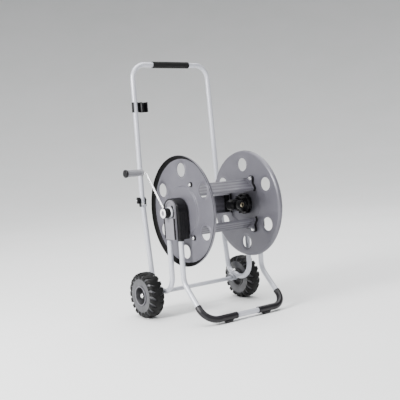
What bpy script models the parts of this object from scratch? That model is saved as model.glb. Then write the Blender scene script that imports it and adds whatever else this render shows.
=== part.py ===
"""Garden hose reel cart: two-wheeled tube frame, folding handle, hose drum with a crank, water inlet.

Metres, +Z up. The reel's axis runs along X, the feet are towards -Y, the wheels and the handle towards +Y, and
the crank is on the -X side. Positions are cart coordinates: x = 0 is the middle of the drum, y = 0 is the reel
axis and z = 0 is the floor. The empty "cart" moves them so that the bounding box's bottom centre is the origin.
"""

from math import atan2, ceil, cos, pi, radians, sin, tan

import bmesh
import bpy
from mathutils import Matrix, Vector

# Driving sizes
FLANGE_R = 0.200
DRUM_HALF = 0.1385
SHEET = 0.0012
AXLE_Z = 0.392
TUBE_R = 0.0095
TUBE_BORE = 0.0082
GAP = 0.0003
SLEEVE_R = (TUBE_R + GAP) / cos(pi / 12)  # corner radius of a twelve-sided hole that clears the tube
LEFT, RIGHT = -1, 1

# Drum
PLATEAU_R = 0.090
PLATEAU_RISE = 0.006
LIP_DEPTH = 0.014
HOLE_R = 0.0245
HOLE_CIRCLE = 0.147
BAR_R = 0.088
BAR_WIDTH = 0.068
BAR_BOLT_CIRCLE = 0.109
BAR_ANGLES = {"upper": 60, "lower": -60, "rear": 180}
SHAFT_R = 0.009
SHAFT_HOLE = 0.0093

# Frame
SIDE_X = 0.180
LEG_A_Y = 0.045
LEG_B_Y = -0.028
LEG_TOP_Z = 0.3445
WHEEL_Y = 0.153
WHEEL_R = 0.085
WHEEL_IN, WHEEL_OUT = 0.197, 0.257
ROD_R = 0.004
ROD_HOLE = 0.0043
U_LOW_FRONT = Vector((0.0, LEG_A_Y, 0.072))
U_LOW_REAR = Vector((0.0, 0.178, 0.118))
JOINT = Vector((0.0, 0.215, 0.431))
SIDE_TUBE_TOP = 0.4052
KNEE = Vector((0.0, LEG_B_Y, 0.142))
FRONT_BAR = Vector((0.0, -0.150, 0.019))
FOOT_R = 0.0125
FOOT_END_X = 0.048
PAD_X = 0.085
LEG_RADII = [0.060, 0.055]

# Reel housings
BODY_IN, BODY_OUT = 0.1500, 0.1925
COVER_IN, COVER_OUT = 0.1928, 0.2050
BODY_HALF, BODY_Y = 0.0490, 0.0085
COVER_HALF, COVER_Y = 0.0300, -0.0010
COVER_ARCH_Z = AXLE_Z + 0.014
PLATE_OUT, PANEL_OUT = 0.1985, 0.2085
PANEL_HALF, PANEL_TOP = 0.0285, AXLE_Z - 0.0185
HOUSING_BASE = 0.296
BUSH_R = 0.0135

# Handle
HANDLE_TOP = Vector((0.173, 0.232, 0.942))
GRIP_HALF = 0.083
GRIP_R = 0.0126
CLIP_Z, CLIP_HEIGHT = 0.762, 0.038

# Crank and water fittings
CRANK_X = 0.2175
CRANK_TIP = Vector((0.0, 0.115, 0.146))
ROD_TIP_X = 0.3025
CRANK_ROD_R = 0.0036
CRANK_BEND_R = 0.012
OUTLET_X, OUTLET_MOUTH = 0.0905, -0.046
OUTLET_BEND_R = 0.012
INLET_IN, INLET_OUT = 0.2072, 0.2320

# The box from the crank's end cap to the right wheel, and from the drum's front to the grip's back
CRANK_CAP_OUT = 0.3060
CART_X = (CRANK_CAP_OUT - WHEEL_OUT) / 2
CART_Y = (FLANGE_R - (HANDLE_TOP.y + GRIP_R)) / 2

COLORS = {
    "tube": ((0.60, 0.61, 0.64), 0.35, 0.75),
    "sheet": ((0.42, 0.42, 0.46), 0.45, 0.35),
    "cover": ((0.40, 0.40, 0.44), 0.50, 0.10),
    "black": ((0.018, 0.018, 0.020), 0.50, 0.0),
    "rubber": ((0.012, 0.012, 0.013), 0.75, 0.0),
    "steel": ((0.72, 0.72, 0.73), 0.25, 1.0),
    "grey_grip": ((0.30, 0.30, 0.33), 0.60, 0.0),
    "brass": ((0.72, 0.58, 0.30), 0.30, 1.0),
    "foam": ((0.020, 0.020, 0.022), 0.90, 0.0),
}


def clear_scene():
    for obj in list(bpy.data.objects):
        bpy.data.objects.remove(obj, do_unlink=True)


def make_material(name):
    color, roughness, metallic = COLORS[name]
    mat = bpy.data.materials.new(name)
    mat.use_nodes = True
    shader = mat.node_tree.nodes["Principled BSDF"]
    shader.inputs["Base Color"].default_value = (*color, 1.0)
    shader.inputs["Roughness"].default_value = roughness
    shader.inputs["Metallic"].default_value = metallic
    return mat


def make_empty(name, location, parent=None):
    """An empty on a joint's axis; its location is in cart coordinates."""
    empty = bpy.data.objects.new(name, None)
    bpy.context.collection.objects.link(empty)
    empty.parent = parent
    empty.location = location
    return empty


def bm_to_mesh(bm, name):
    bmesh.ops.remove_doubles(bm, verts=bm.verts, dist=1e-6)
    bmesh.ops.dissolve_degenerate(bm, edges=bm.edges, dist=1e-6)
    bmesh.ops.recalc_face_normals(bm, faces=bm.faces)
    mesh = bpy.data.meshes.new(name)
    bm.to_mesh(mesh)
    bm.free()
    return mesh


def lathe(profile, segments=32):
    """Turns a list of (x, r) points about the X axis. An open profile starts and ends on the axis."""
    bm = bmesh.new()
    verts = [bm.verts.new((x, 0.0, r)) for x, r in profile]
    closed = profile[0][1] > 0 and profile[-1][1] > 0
    pairs = list(zip(verts, verts[1:]))
    if closed:
        pairs.append((verts[-1], verts[0]))
    edges = [bm.edges.new(pair) for pair in pairs]
    bmesh.ops.spin(
        bm, geom=verts + edges, cent=(0, 0, 0), axis=(1, 0, 0), angle=2 * pi, steps=segments, use_merge=True
    )
    return bm_to_mesh(bm, "lathe")


def ring(x0, x1, r_out, r_in=0.0, segments=32, chamfer=0.0):
    """A disc or, with r_in, a washer or sleeve about the X axis."""
    c = chamfer
    edge = [(x0, r_out), (x1, r_out)]
    if c:
        edge = [(x0, r_out - c), (x0 + c, r_out), (x1 - c, r_out), (x1, r_out - c)]
    return lathe([(x0, r_in)] + edge + [(x1, r_in)], segments)


def extrude_outline(points, x0, x1):
    """A prism along X with a (y, z) outline."""
    bm = bmesh.new()
    face = bm.faces.new([bm.verts.new((x0, y, z)) for y, z in points])
    top = bmesh.ops.extrude_face_region(bm, geom=[face])
    moved = [v for v in top["geom"] if isinstance(v, bmesh.types.BMVert)]
    bmesh.ops.translate(bm, verts=moved, vec=(x1 - x0, 0, 0))
    return bm_to_mesh(bm, "prism")


def box(low, high):
    x0, y0, z0 = low
    x1, y1, z1 = high
    return extrude_outline([(y0, z0), (y1, z0), (y1, z1), (y0, z1)], x0, x1)


def tombstone(centre_y, arch_z, half, x0, x1, inset=0.0, steps=12):
    """A plate with a flat base and a round top whose centre is at arch_z."""
    r = half - inset
    base = HOUSING_BASE + inset
    arch = [(centre_y + r * cos(pi * i / steps), arch_z + r * sin(pi * i / steps)) for i in range(steps + 1)]
    return extrude_outline([(centre_y - r, base), (centre_y + r, base)] + arch, x0, x1)


def fillet_path(corners, radii, step=18):
    """Points along a polyline whose inner corners are rounded, with a point every 18 degrees."""
    path = [corners[0]]
    for before, corner, after, r in zip(corners, corners[1:], corners[2:], radii):
        a = (before - corner).normalized()
        b = (after - corner).normalized()
        half = a.angle(b) / 2
        steps = ceil((pi - 2 * half) / radians(step))
        reach = r / tan(half)
        centre = corner + (a + b).normalized() * (r / sin(half))
        start = corner + a * reach - centre
        end = corner + b * reach - centre
        path += [centre + start.slerp(end, i / steps).normalized() * r for i in range(steps + 1)]
    path.append(corners[-1])
    return path


def sweep(path, r_out, r_in=0.0, segments=12):
    """A round bar, or with r_in an open-ended tube, along a list of points."""
    bm = bmesh.new()
    tangents = []
    for i, point in enumerate(path):
        before = path[max(i - 1, 0)]
        after = path[min(i + 1, len(path) - 1)]
        tangents.append((after - before).normalized())
    side = tangents[0].orthogonal().normalized()
    loops = {r_out: [], r_in: []}
    for point, tangent, previous in zip(path, tangents, [tangents[0]] + tangents[:-1]):
        side = previous.rotation_difference(tangent) @ side
        other = tangent.cross(side)
        for r in {r_out, r_in} - {0.0}:
            angles = [2 * pi * k / segments for k in range(segments)]
            loops[r].append([bm.verts.new(point + (side * cos(t) + other * sin(t)) * r) for t in angles])
    for rings in loops.values():
        for first, second in zip(rings, rings[1:]):
            for k in range(segments):
                n = (k + 1) % segments
                bm.faces.new((first[k], first[n], second[n], second[k]))
    for end in (0, -1):
        outer = loops[r_out][end]
        if r_in:
            inner = loops[r_in][end]
            for k in range(segments):
                n = (k + 1) % segments
                bm.faces.new((outer[k], outer[n], inner[n], inner[k]))
        else:
            bm.faces.new(outer)
    return bm_to_mesh(bm, "sweep")


def moved(mesh, offset=(0, 0, 0), turn=0.0, axis="X"):
    """The mesh turned by an angle in degrees about an axis through the origin, then shifted."""
    mesh.transform(Matrix.Translation(Vector(offset)) @ Matrix.Rotation(radians(turn), 4, axis))
    return mesh


def mirrored(mesh, side):
    """The mesh as built for +X, or its mirror image for the left side."""
    if side == LEFT:
        mesh.transform(Matrix.Diagonal((-1, 1, 1, 1)))
        mesh.flip_normals()
    return mesh


def combine(base, others, operation):
    """Applies one Boolean after another to a mesh."""
    target = bpy.data.objects.new("boolean_target", base)
    bpy.context.collection.objects.link(target)
    tools = []
    for mesh in others:
        tool = bpy.data.objects.new("boolean_tool", mesh)
        bpy.context.collection.objects.link(tool)
        modifier = target.modifiers.new("cut", "BOOLEAN")
        modifier.operation = operation
        modifier.solver = "EXACT"
        modifier.object = tool
        tools.append(tool)
    bpy.context.view_layer.update()
    result = bpy.data.meshes.new_from_object(target.evaluated_get(bpy.context.evaluated_depsgraph_get()))
    for obj in [target] + tools:
        bpy.data.objects.remove(obj, do_unlink=True)
    return result


def cut(base, *tools):
    return combine(base, tools, "DIFFERENCE")


def join(base, *tools):
    return combine(base, tools, "UNION")


def add(name, mesh, mat, parent):
    """An object from a mesh in cart coordinates, placed under an empty that is on its joint's axis."""
    if parent.parent:
        mesh.transform(Matrix.Translation(-parent.location))
    mesh.name = name
    mesh.materials.clear()
    mesh.materials.append(mat)
    mesh.shade_smooth()
    mesh.set_sharp_from_angle(angle=radians(35))
    obj = bpy.data.objects.new(name, mesh)
    bpy.context.collection.objects.link(obj)
    obj.parent = parent
    return obj


def side_name(side):
    return "left" if side == LEFT else "right"


# Frame

def side_tube(side):
    x = Vector((SIDE_X, 0, 0))
    slope = (JOINT - U_LOW_REAR).normalized()
    top = JOINT + slope * ((SIDE_TUBE_TOP - JOINT.z) / slope.z)
    corners = [Vector((SIDE_X, LEG_A_Y, LEG_TOP_Z)), x + U_LOW_FRONT, x + U_LOW_REAR, x + top]
    tube = sweep(fillet_path(corners, [0.060, 0.035]), TUBE_R, TUBE_BORE)
    hole = moved(ring(-0.02, 0.02, 0.0031, segments=12), turn=90, axis="Y")
    return mirrored(cut(tube, place_on_slope(hole)), side)


def slope_angle():
    """The climb in degrees of the side tube's low stretch, where the axle hangs."""
    rise = U_LOW_REAR - U_LOW_FRONT
    return atan2(rise.z, rise.y) * 180 / pi


def place_on_slope(mesh):
    """Moves a mesh from the origin to the side tube's centre above the axle, tilted with the tube."""
    rise = U_LOW_REAR - U_LOW_FRONT
    share = (WHEEL_Y - 0.006 - U_LOW_FRONT.y) / rise.y
    return moved(mesh, U_LOW_FRONT + rise * share + Vector((SIDE_X, 0, 0)), slope_angle())


def axle_bracket(side):
    """A saddle under the side tube with an eye for the axle rod."""
    x0, x1 = 0.1660, 0.1940
    saddle = place_on_slope(box((-0.013, -0.014, -0.023), (0.013, 0.014, -0.002)))
    eye = moved(ring(x0, x1, 0.0100, segments=20), (0, WHEEL_Y, WHEEL_R))
    groove = place_on_slope(sweep([Vector((0, -0.05, 0)), Vector((0, 0.05, 0))], SLEEVE_R))
    rod = moved(ring(0.15, 0.21, ROD_HOLE, segments=16), (0, WHEEL_Y, WHEEL_R))
    bolt = place_on_slope(moved(ring(-0.0160, 0.0, 0.0031, segments=12), turn=-90, axis="Y"))
    return mirrored(cut(join(saddle, eye), groove, rod, bolt), side)


def bracket_bolt(side):
    """A bolt through the side tube into its bracket, with a hexagon nut on top."""
    shank = moved(ring(-0.0150, 0.0140, 0.0027, segments=12), turn=-90, axis="Y")
    nut = moved(ring(0.0100, 0.0160, 0.0065, segments=6), turn=-90, axis="Y")
    return mirrored(place_on_slope(join(nut, shank)), side)


def leg_corners(side):
    x = Vector((side * SIDE_X, 0, 0))
    return [Vector((side * SIDE_X, LEG_B_Y, LEG_TOP_Z)), x + KNEE, x + FRONT_BAR]


def front_leg_tube():
    corners = leg_corners(LEFT) + leg_corners(RIGHT)[::-1]
    return sweep(fillet_path(corners, LEG_RADII + LEG_RADII[::-1]), TUBE_R, TUBE_BORE)


def foot(side):
    """A sleeve round the frame's front corner, with a pad that stands on the floor."""
    corner = Vector((SIDE_X, 0, 0)) + FRONT_BAR
    upper = corner + (Vector((SIDE_X, 0, 0)) + KNEE - corner) * 0.37
    inner = Vector((FOOT_END_X, 0, 0)) + FRONT_BAR
    path = fillet_path([upper, corner, inner], LEG_RADII[1:])
    sleeve = sweep(path, FOOT_R, SLEEVE_R)
    pad_half = Vector((0.014, 0.0085, 0))
    middle = Vector((PAD_X, FRONT_BAR.y, 0))
    pad = box(middle - pad_half, middle + pad_half + Vector((0, 0, FRONT_BAR.z - TUBE_R - 0.0015)))
    return mirrored(join(sleeve, pad), side)


def wheel_axis(mesh):
    return moved(mesh, (0, WHEEL_Y, WHEEL_R))


def cross_tube():
    return wheel_axis(ring(-0.1655, 0.1655, 0.0080, 0.0060, segments=20))


def axle_rod():
    return wheel_axis(ring(-0.2495, 0.2495, ROD_R, segments=16))


def axle_cap(side):
    outline = [
        (0.2498, 0.0), (0.2498, ROD_HOLE), (0.2458, ROD_HOLE), (0.2458, 0.0095), (0.2495, 0.0095),
        (0.2515, 0.0070), (0.2522, 0.0),
    ]
    return mirrored(wheel_axis(lathe(outline, 20)), side)


# Wheels

def tyre(side):
    """A fat moulded tyre with a flat tread and rounded shoulders, hollow behind the wheel centre."""
    r, x0, x1, bead, wall = WHEEL_R, WHEEL_IN, WHEEL_OUT, 0.0365, 0.0035
    outer = [(x0, bead), (x0, 0.069), (x0 + 0.010, r), (x1 - 0.013, r), (x1, 0.069), (x1, bead)]
    inner = [
        (x1 - wall, bead), (x1 - wall, 0.067), (x1 - 0.015, r - wall), (x0 + 0.012, r - wall),
        (x0 + wall, 0.067), (x0 + wall, bead),
    ]
    return mirrored(wheel_axis(lathe(outer + inner, 32)), side)


def rim(side):
    """A dished wheel centre with a hub that runs on the axle rod."""
    x0, x1 = WHEEL_IN + 0.001, WHEEL_OUT - 0.001
    r = 0.0365 - GAP
    outline = [
        (x0, ROD_HOLE), (x0, 0.012), (x0 + 0.012, 0.014), (x0 + 0.014, r - 0.004), (x0, r - 0.004), (x0, r),
        (x1, r), (x1, r - 0.0035), (x1 - 0.028, r - 0.006), (x1 - 0.028, 0.014), (0.2455, 0.0115),
        (0.2455, ROD_HOLE),
    ]
    return mirrored(wheel_axis(lathe(outline, 20)), side)


# Reel housings

def reel_axis(mesh):
    return moved(mesh, (0, 0, AXLE_Z))


def bush_bore(r):
    return reel_axis(ring(0.10, 0.25, r, segments=20))


def hub_body(side):
    """The black block that the tubes plug into and the shaft turns in."""
    body = tombstone(BODY_Y, AXLE_Z, BODY_HALF, BODY_IN, BODY_OUT)
    sockets = []
    for y in (LEG_A_Y, LEG_B_Y):
        ends = [Vector((SIDE_X, y, HOUSING_BASE - 0.02)), Vector((SIDE_X, y, LEG_TOP_Z + GAP))]
        sockets.append(sweep(ends, SLEEVE_R))
    screws = [screw_hole(z) for z in screw_heights()]
    return mirrored(cut(body, *sockets, bush_bore(BUSH_R + GAP), *screws), side)


def cover_panel(x0, x1, inset=0.0):
    """The cover's thick lower part."""
    half = PANEL_HALF - inset
    return box((x0, COVER_Y - half, HOUSING_BASE + inset), (x1, COVER_Y + half, PANEL_TOP - inset))


def hub_cover(side):
    """A grey cap on the housing: an arched plate, a thick lower panel and a ring round the shaft."""
    wall, inside = 0.0025, COVER_IN - 0.01
    plate = tombstone(COVER_Y, COVER_ARCH_Z, COVER_HALF, COVER_IN, PLATE_OUT)
    panel = moved(cover_panel(COVER_IN + 0.001, PANEL_OUT), (0, 0, GAP))
    boss = reel_axis(ring(PLATE_OUT - 0.001, COVER_OUT + 0.0014, 0.0205, segments=16, chamfer=0.0008))
    tower = reel_axis(moved(ring(inside - 0.01, COVER_OUT, 0.0175, segments=16), turn=5))
    posts = []
    for z in screw_heights():
        posts.append(moved(ring(inside - 0.01, PANEL_OUT, 0.0045, segments=8), (0, COVER_Y, z)))
    space = join(tombstone(COVER_Y, COVER_ARCH_Z, COVER_HALF, inside, PLATE_OUT - wall, wall),
                 cover_panel(inside + 0.001, PANEL_OUT - wall, 1.2 * wall))
    hollow = cut(space, tower, *posts)
    screws = [screw_hole(z) for z in screw_heights()]
    return mirrored(cut(join(plate, panel, boss), hollow, bush_bore(BUSH_R + GAP), *screws), side)


def screw_heights():
    return (HOUSING_BASE + 0.010, AXLE_Z - 0.032)


def screw_hole(z):
    return moved(ring(BODY_OUT - 0.012, PANEL_OUT + 0.01, 0.0019, segments=8), (0, COVER_Y, z))


def cover_screw(side, z):
    tip, seat, top = BODY_OUT - 0.0100, PANEL_OUT + GAP, PANEL_OUT + 0.0016
    outline = [(tip, 0.0), (tip, 0.0015), (seat, 0.0015), (seat, 0.0034), (top, 0.0030), (top, 0.0)]
    return mirrored(moved(lathe(outline, 8), (0, COVER_Y, z)), side)


def bush(side):
    return mirrored(reel_axis(ring(0.1497, 0.2055, BUSH_R, SHAFT_HOLE, segments=20)), side)


# Handle joint

def joint_tilt():
    """The lower tube's lean in degrees."""
    lean = JOINT - U_LOW_REAR
    return -atan2(lean.y, lean.z) * 180 / pi


def joint_fork(side):
    """A plug in the lower tube's top, with an ear on each side of the handle tube's end."""
    low, high, thick, half = -0.031, 0.025, 0.0025, 0.0098
    ears = [box((half, -0.0100, low), (half + thick, 0.0100, high))]
    ears.append(box((-half - thick, -0.0100, low), (-half, 0.0100, high)))
    web = box((-half - thick, -0.0100, -0.0255), (half + thick, 0.0100, -0.0165))
    plug = sweep([Vector((0, 0, -0.048)), Vector((0, 0, -0.018))], TUBE_BORE - GAP)
    slot = ring(-0.03, 0.03, 0.0032, segments=12)
    collar = sweep([Vector((0, 0, -0.05)), Vector((0, 0, -0.0255))], SLEEVE_R)
    fork = join(cut(join(web, *ears), collar, slot), plug)
    return mirrored(moved(fork, JOINT + Vector((SIDE_X, 0, 0)), joint_tilt()), side)


def pivot_bolt(side):
    """The bolt on which the handle folds, with its round head inside the cart."""
    outline = [
        (-0.0215, 0.0), (-0.0215, 0.0040), (-0.0195, 0.0062), (-0.0127, 0.0062), (-0.0127, 0.0029),
        (0.0215, 0.0029), (0.0215, 0.0),
    ]
    return mirrored(moved(lathe(outline, 12), JOINT + Vector((SIDE_X, 0, 0))), side)


def wing_knob(side):
    """A hand nut with an upper and a lower wing."""
    hub = ring(0.0127, 0.0245, 0.0066, segments=16, chamfer=0.001)
    wings = extrude_outline([(-0.0035, -0.0130), (0.0035, -0.0130), (0.0048, 0.0), (0.0035, 0.0130),
                             (-0.0035, 0.0130), (-0.0048, 0.0)], 0.0150, 0.0215)
    bolt = ring(0.0, 0.0225, 0.0032, segments=16)
    return mirrored(moved(cut(join(hub, wings), bolt), JOINT + Vector((SIDE_X, 0, 0))), side)


# Handle

def handle_tube():
    foot_z = -0.0120
    corners = []
    for side in (LEFT, RIGHT):
        ends = [JOINT + Vector((side * SIDE_X, 0, foot_z)), JOINT + Vector((side * SIDE_X, 0, 0.02))]
        ends.append(Vector((side * HANDLE_TOP.x, HANDLE_TOP.y, HANDLE_TOP.z)))
        corners += ends if side == LEFT else ends[::-1]
    tube = sweep(fillet_path(corners, [0.25, 0.055, 0.055, 0.25]), TUBE_R, TUBE_BORE)
    bolts = []
    for side in (LEFT, RIGHT):
        bolts.append(moved(ring(-0.02, 0.02, 0.0032, segments=12), JOINT + Vector((side * SIDE_X, 0, 0))))
    return cut(tube, *bolts)


def handle_grip():
    sleeve = ring(-GRIP_HALF, GRIP_HALF, GRIP_R, SLEEVE_R, segments=16, chamfer=0.001)
    return moved(sleeve, (0, HANDLE_TOP.y, HANDLE_TOP.z))


def upright(r, z0, z1, x, y, segments=20):
    return sweep([Vector((x, y, z0)), Vector((x, y, z1))], r, segments=segments)


def handle_at(z):
    """The centre of the left handle tube's straight stretch at a height."""
    low = JOINT + Vector((-SIDE_X, 0, 0.02))
    high = Vector((-HANDLE_TOP.x, HANDLE_TOP.y, HANDLE_TOP.z))
    return low.lerp(high, (z - low.z) / (high.z - low.z))


def nozzle_clip():
    """Two open rings side by side: one snaps on the handle tube, the other holds a spray nozzle."""
    z0, z1 = CLIP_Z, CLIP_Z + CLIP_HEIGHT
    tube_axis = handle_at((z0 + z1) / 2)
    x, y = tube_axis.x, tube_axis.y
    cradle_x = x + 0.0365
    outer = join(upright(0.0138, z0, z1, x, y), upright(0.0178, z0, z1, cradle_x, y),
                 box((x, y + 0.004, z0), (cradle_x, y + 0.0125, z1)))
    mouths = [box((x - 0.0062, y - 0.03, z0 - 0.01), (x + 0.0062, y, z1 + 0.01)),
              box((cradle_x - 0.0105, y - 0.03, z0 - 0.01), (cradle_x + 0.0105, y, z1 + 0.01))]
    lean = (handle_at(z1) - handle_at(z0)) * 0.5
    bore = sweep([tube_axis - lean * 1.3, tube_axis + lean * 1.3], SLEEVE_R, segments=20)
    return cut(outer, bore, upright(0.0145, z0 - 0.01, z1 + 0.01, cradle_x, y), *mouths)


# Drum

def flange_profile():
    """(x, r) of a pressed steel disc: raised centre, flat ring, and a rim rolled outwards."""
    x = DRUM_HALF
    inner = [
        (x + PLATEAU_RISE, 0.0105), (x + PLATEAU_RISE, PLATEAU_R - 0.006), (x, PLATEAU_R),
        (x, FLANGE_R - 0.012), (x + 0.005, FLANGE_R - 0.0045), (x + LIP_DEPTH - 0.003, FLANGE_R),
    ]
    outer = [
        (x + LIP_DEPTH, FLANGE_R), (x + LIP_DEPTH, FLANGE_R - 0.0028), (x + 0.006, FLANGE_R - 0.0060),
        (x + SHEET, FLANGE_R - 0.0125), (x + SHEET, PLATEAU_R + 0.0005),
        (x + PLATEAU_RISE + SHEET, PLATEAU_R - 0.0055), (x + PLATEAU_RISE + SHEET, 0.0105),
    ]
    return inner + outer


def on_circle(mesh, radius, degrees):
    """Moves a mesh from the reel axis to a circle about it; 0 degrees is the front, 90 the top."""
    spot = Vector((0, -radius * cos(radians(degrees)), AXLE_Z + radius * sin(radians(degrees))))
    return moved(mesh, spot)


def flange(side):
    disc = reel_axis(moved(lathe(flange_profile(), 40), turn=2))
    holes = [on_circle(ring(0.10, 0.20, HOLE_R, segments=16), HOLE_CIRCLE, 30 + 60 * i) for i in range(6)]
    bolts = [on_circle(ring(0.10, 0.20, 0.0033, segments=8), BAR_BOLT_CIRCLE, a) for a in BAR_ANGLES.values()]
    return mirrored(cut(disc, *holes, *bolts), side)


def bar_outline():
    """(t, n) of a ribbed channel: t runs round the drum and n away from the reel axis."""
    half, depth, thick, groove = BAR_WIDTH / 2, 0.0090, 0.0014, 0.0022
    ribs = 4
    top = [(-half, -depth), (-half, -0.0015), (-half + 0.0015, 0.0)]
    pitch = (BAR_WIDTH - 0.012) / ribs
    for i in range(ribs):
        start = -half + 0.006 + i * pitch
        top += [(start + 0.2 * pitch, 0.0), (start + 0.35 * pitch, -groove)]
        top += [(start + 0.65 * pitch, -groove), (start + 0.8 * pitch, 0.0)]
    top += [(half - 0.0015, 0.0), (half, -0.0015), (half, -depth)]
    lower = [(half - thick, -depth), (half - thick, -0.0022), (half - 0.0022, -thick)]
    for t, n in top[-4:2:-1]:
        lower.append((t, n - thick))
    lower += [(-half + 0.0022, -thick), (-half + thick, -0.0022), (-half + thick, -depth)]
    return top + lower


def drum_bar(angle):
    """A ribbed bar with a bolted tab at each end, turned to its place on the drum."""
    ends = DRUM_HALF - GAP
    bar = extrude_outline([(-t, n + BAR_R) for t, n in bar_outline()], -ends, ends)
    tabs = []
    for side in (LEFT, RIGHT):
        inner, outer = sorted((side * ends, side * (ends - SHEET)))
        tabs.append(box((inner, -0.010, BAR_R - 0.0020), (outer, 0.010, BAR_BOLT_CIRCLE + 0.009)))
    holes = moved(ring(-0.2, 0.2, 0.0033, segments=8), (0, 0, BAR_BOLT_CIRCLE))
    return reel_axis(moved(cut(join(bar, *tabs), holes), turn=90 - angle))


def bar_bolt(side, angle):
    """A bolt through the flange and the bar's tab: domed head outside, nut inside."""
    outside = DRUM_HALF + SHEET + GAP
    inside = DRUM_HALF - SHEET - 2 * GAP
    outline = [
        (outside + 0.0035, 0.0), (outside + 0.0028, 0.0040), (outside, 0.0062), (outside, 0.0029),
        (inside, 0.0029), (inside, 0.0058), (inside - 0.0040, 0.0058), (inside - 0.0040, 0.0),
    ]
    return mirrored(on_circle(lathe(outline[::-1], 10), BAR_BOLT_CIRCLE, angle), side)


def drum_hub(side, depth, r):
    """The black hub that clamps the shaft to the flange's centre."""
    outer = DRUM_HALF + PLATEAU_RISE - GAP
    hub = ring(outer - depth, outer, r, SHAFT_R + GAP, segments=20, chamfer=0.002)
    return mirrored(reel_axis(hub), side)


def crank_shaft():
    return mirrored(reel_axis(ring(0.1195, 0.2255, SHAFT_R, segments=20)), LEFT)


def crank_hub():
    inner, outer, radius, chamfer, bore = COVER_OUT + 0.0020, 0.2280, 0.0172, 0.0012, SHAFT_R + GAP
    outline = [
        (0.2258, 0.0), (0.2258, bore), (inner, bore), (inner, radius - chamfer), (inner + chamfer, radius),
        (outer - chamfer, radius), (outer, radius - chamfer), (outer, 0.0),
    ]
    hub = reel_axis(lathe(outline, 20))
    direction = CRANK_TIP.normalized()
    base = Vector((CRANK_X, 0, AXLE_Z))
    socket = sweep([base + direction * 0.0119, base + direction * 0.03], CRANK_ROD_R + GAP)
    return mirrored(cut(hub, socket), LEFT)


def crank_rod():
    base = Vector((CRANK_X, 0, AXLE_Z))
    tip = base + CRANK_TIP
    start = base + CRANK_TIP.normalized() * 0.0122
    path = fillet_path([start, tip, tip + Vector((ROD_TIP_X - CRANK_X, 0, 0))], [CRANK_BEND_R])
    return mirrored(sweep(path, CRANK_ROD_R), LEFT)


def crank_cap():
    """The bright washer and screw on the crank hub's outer face."""
    outline = [
        (0.2283, 0.0), (0.2283, 0.0168), (0.2300, 0.0168), (0.2315, 0.0150), (0.2315, 0.0095), (0.2300, 0.0085),
        (0.2300, 0.0060), (0.2312, 0.0055), (0.2312, 0.0),
    ]
    return mirrored(reel_axis(lathe(outline, 20)), LEFT)


def grip_axis(mesh):
    return moved(mesh, Vector((0, 0, AXLE_Z)) + CRANK_TIP)


def crank_grip():
    sleeve = ring(0.2310, 0.2958, 0.0125, CRANK_ROD_R + GAP, segments=16, chamfer=0.001)
    return mirrored(grip_axis(sleeve), LEFT)


def crank_grip_cap():
    outline = [
        (0.2961, CRANK_ROD_R + GAP), (0.2961, 0.0130), (0.2975, 0.0147), (0.3035, 0.0147),
        (CRANK_CAP_OUT, 0.0122), (CRANK_CAP_OUT, 0.0),
    ]
    cap = [(0.3030, 0.0), (0.3030, CRANK_ROD_R + GAP)] + outline
    return mirrored(grip_axis(lathe(cap, 16)), LEFT)


# Water fittings, on the right

def water_spindle():
    """The hollow shaft that carries water through the right housing into the drum."""
    return reel_axis(ring(0.1195, 0.2120, SHAFT_R, 0.0055, segments=20))


def outlet_elbow():
    """The elbow inside the drum that the hose screws onto; its mouth points forwards."""
    flange_plate = ring(0.1075, 0.1135, 0.0280, segments=20, chamfer=0.001)
    bend, mouth = Vector((OUTLET_X, 0, 0)), Vector((OUTLET_X, OUTLET_MOUTH, 0))
    path = fillet_path([Vector((0.1100, 0, 0)), bend, mouth], [OUTLET_BEND_R])
    bore = sweep([mouth - Vector((0, 0.01, 0)), mouth + Vector((0, 0.016, 0))], 0.0075)
    return reel_axis(cut(join(flange_plate, sweep(path, 0.0110)), bore))


def outlet_collar():
    """A ribbed nut round the elbow's mouth."""
    collar = ring(OUTLET_MOUTH - 0.0010, OUTLET_MOUTH + 0.0170, 0.0175, 0.0113, segments=20, chamfer=0.0012)
    return reel_axis(moved(moved(collar, turn=90, axis="Z"), (OUTLET_X, 0, 0)))


def outlet_insert():
    """The brass thread inside the mouth."""
    insert = ring(OUTLET_MOUTH - 0.0030, OUTLET_MOUTH + 0.0157, 0.0072, 0.0050, segments=20)
    return reel_axis(moved(moved(insert, turn=90, axis="Z"), (OUTLET_X, 0, 0)))


def inlet_elbow():
    """The swivelling inlet: a cap over the spindle's end with a hose tail that hangs down."""
    length = 0.058
    outline = [
        (0.0, 0.0), (0.0, 0.0080), (0.0165, 0.0080), (0.0165, 0.0125), (0.0280, 0.0125), (0.0285, 0.0080),
        (0.0400, 0.0080), (0.0410, 0.0100), (0.0450, 0.0100), (0.0470, 0.0080), (length, 0.0074), (length, 0.0),
    ]
    x = (INLET_IN + INLET_OUT) / 2 + 0.0015
    tail = moved(lathe(outline, 12), (x, 0, 0), turn=90, axis="Y")
    cap = moved(ring(INLET_IN, INLET_OUT, 0.0180, segments=16, chamfer=0.0015), turn=4)
    socket = ring(0.20, 0.2125, SHAFT_HOLE, segments=20)
    bore = sweep([Vector((x, 0, -length - 0.01)), Vector((x, 0, -length + 0.030))], 0.0045)
    return reel_axis(cut(join(cap, tail), socket, bore))


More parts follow.
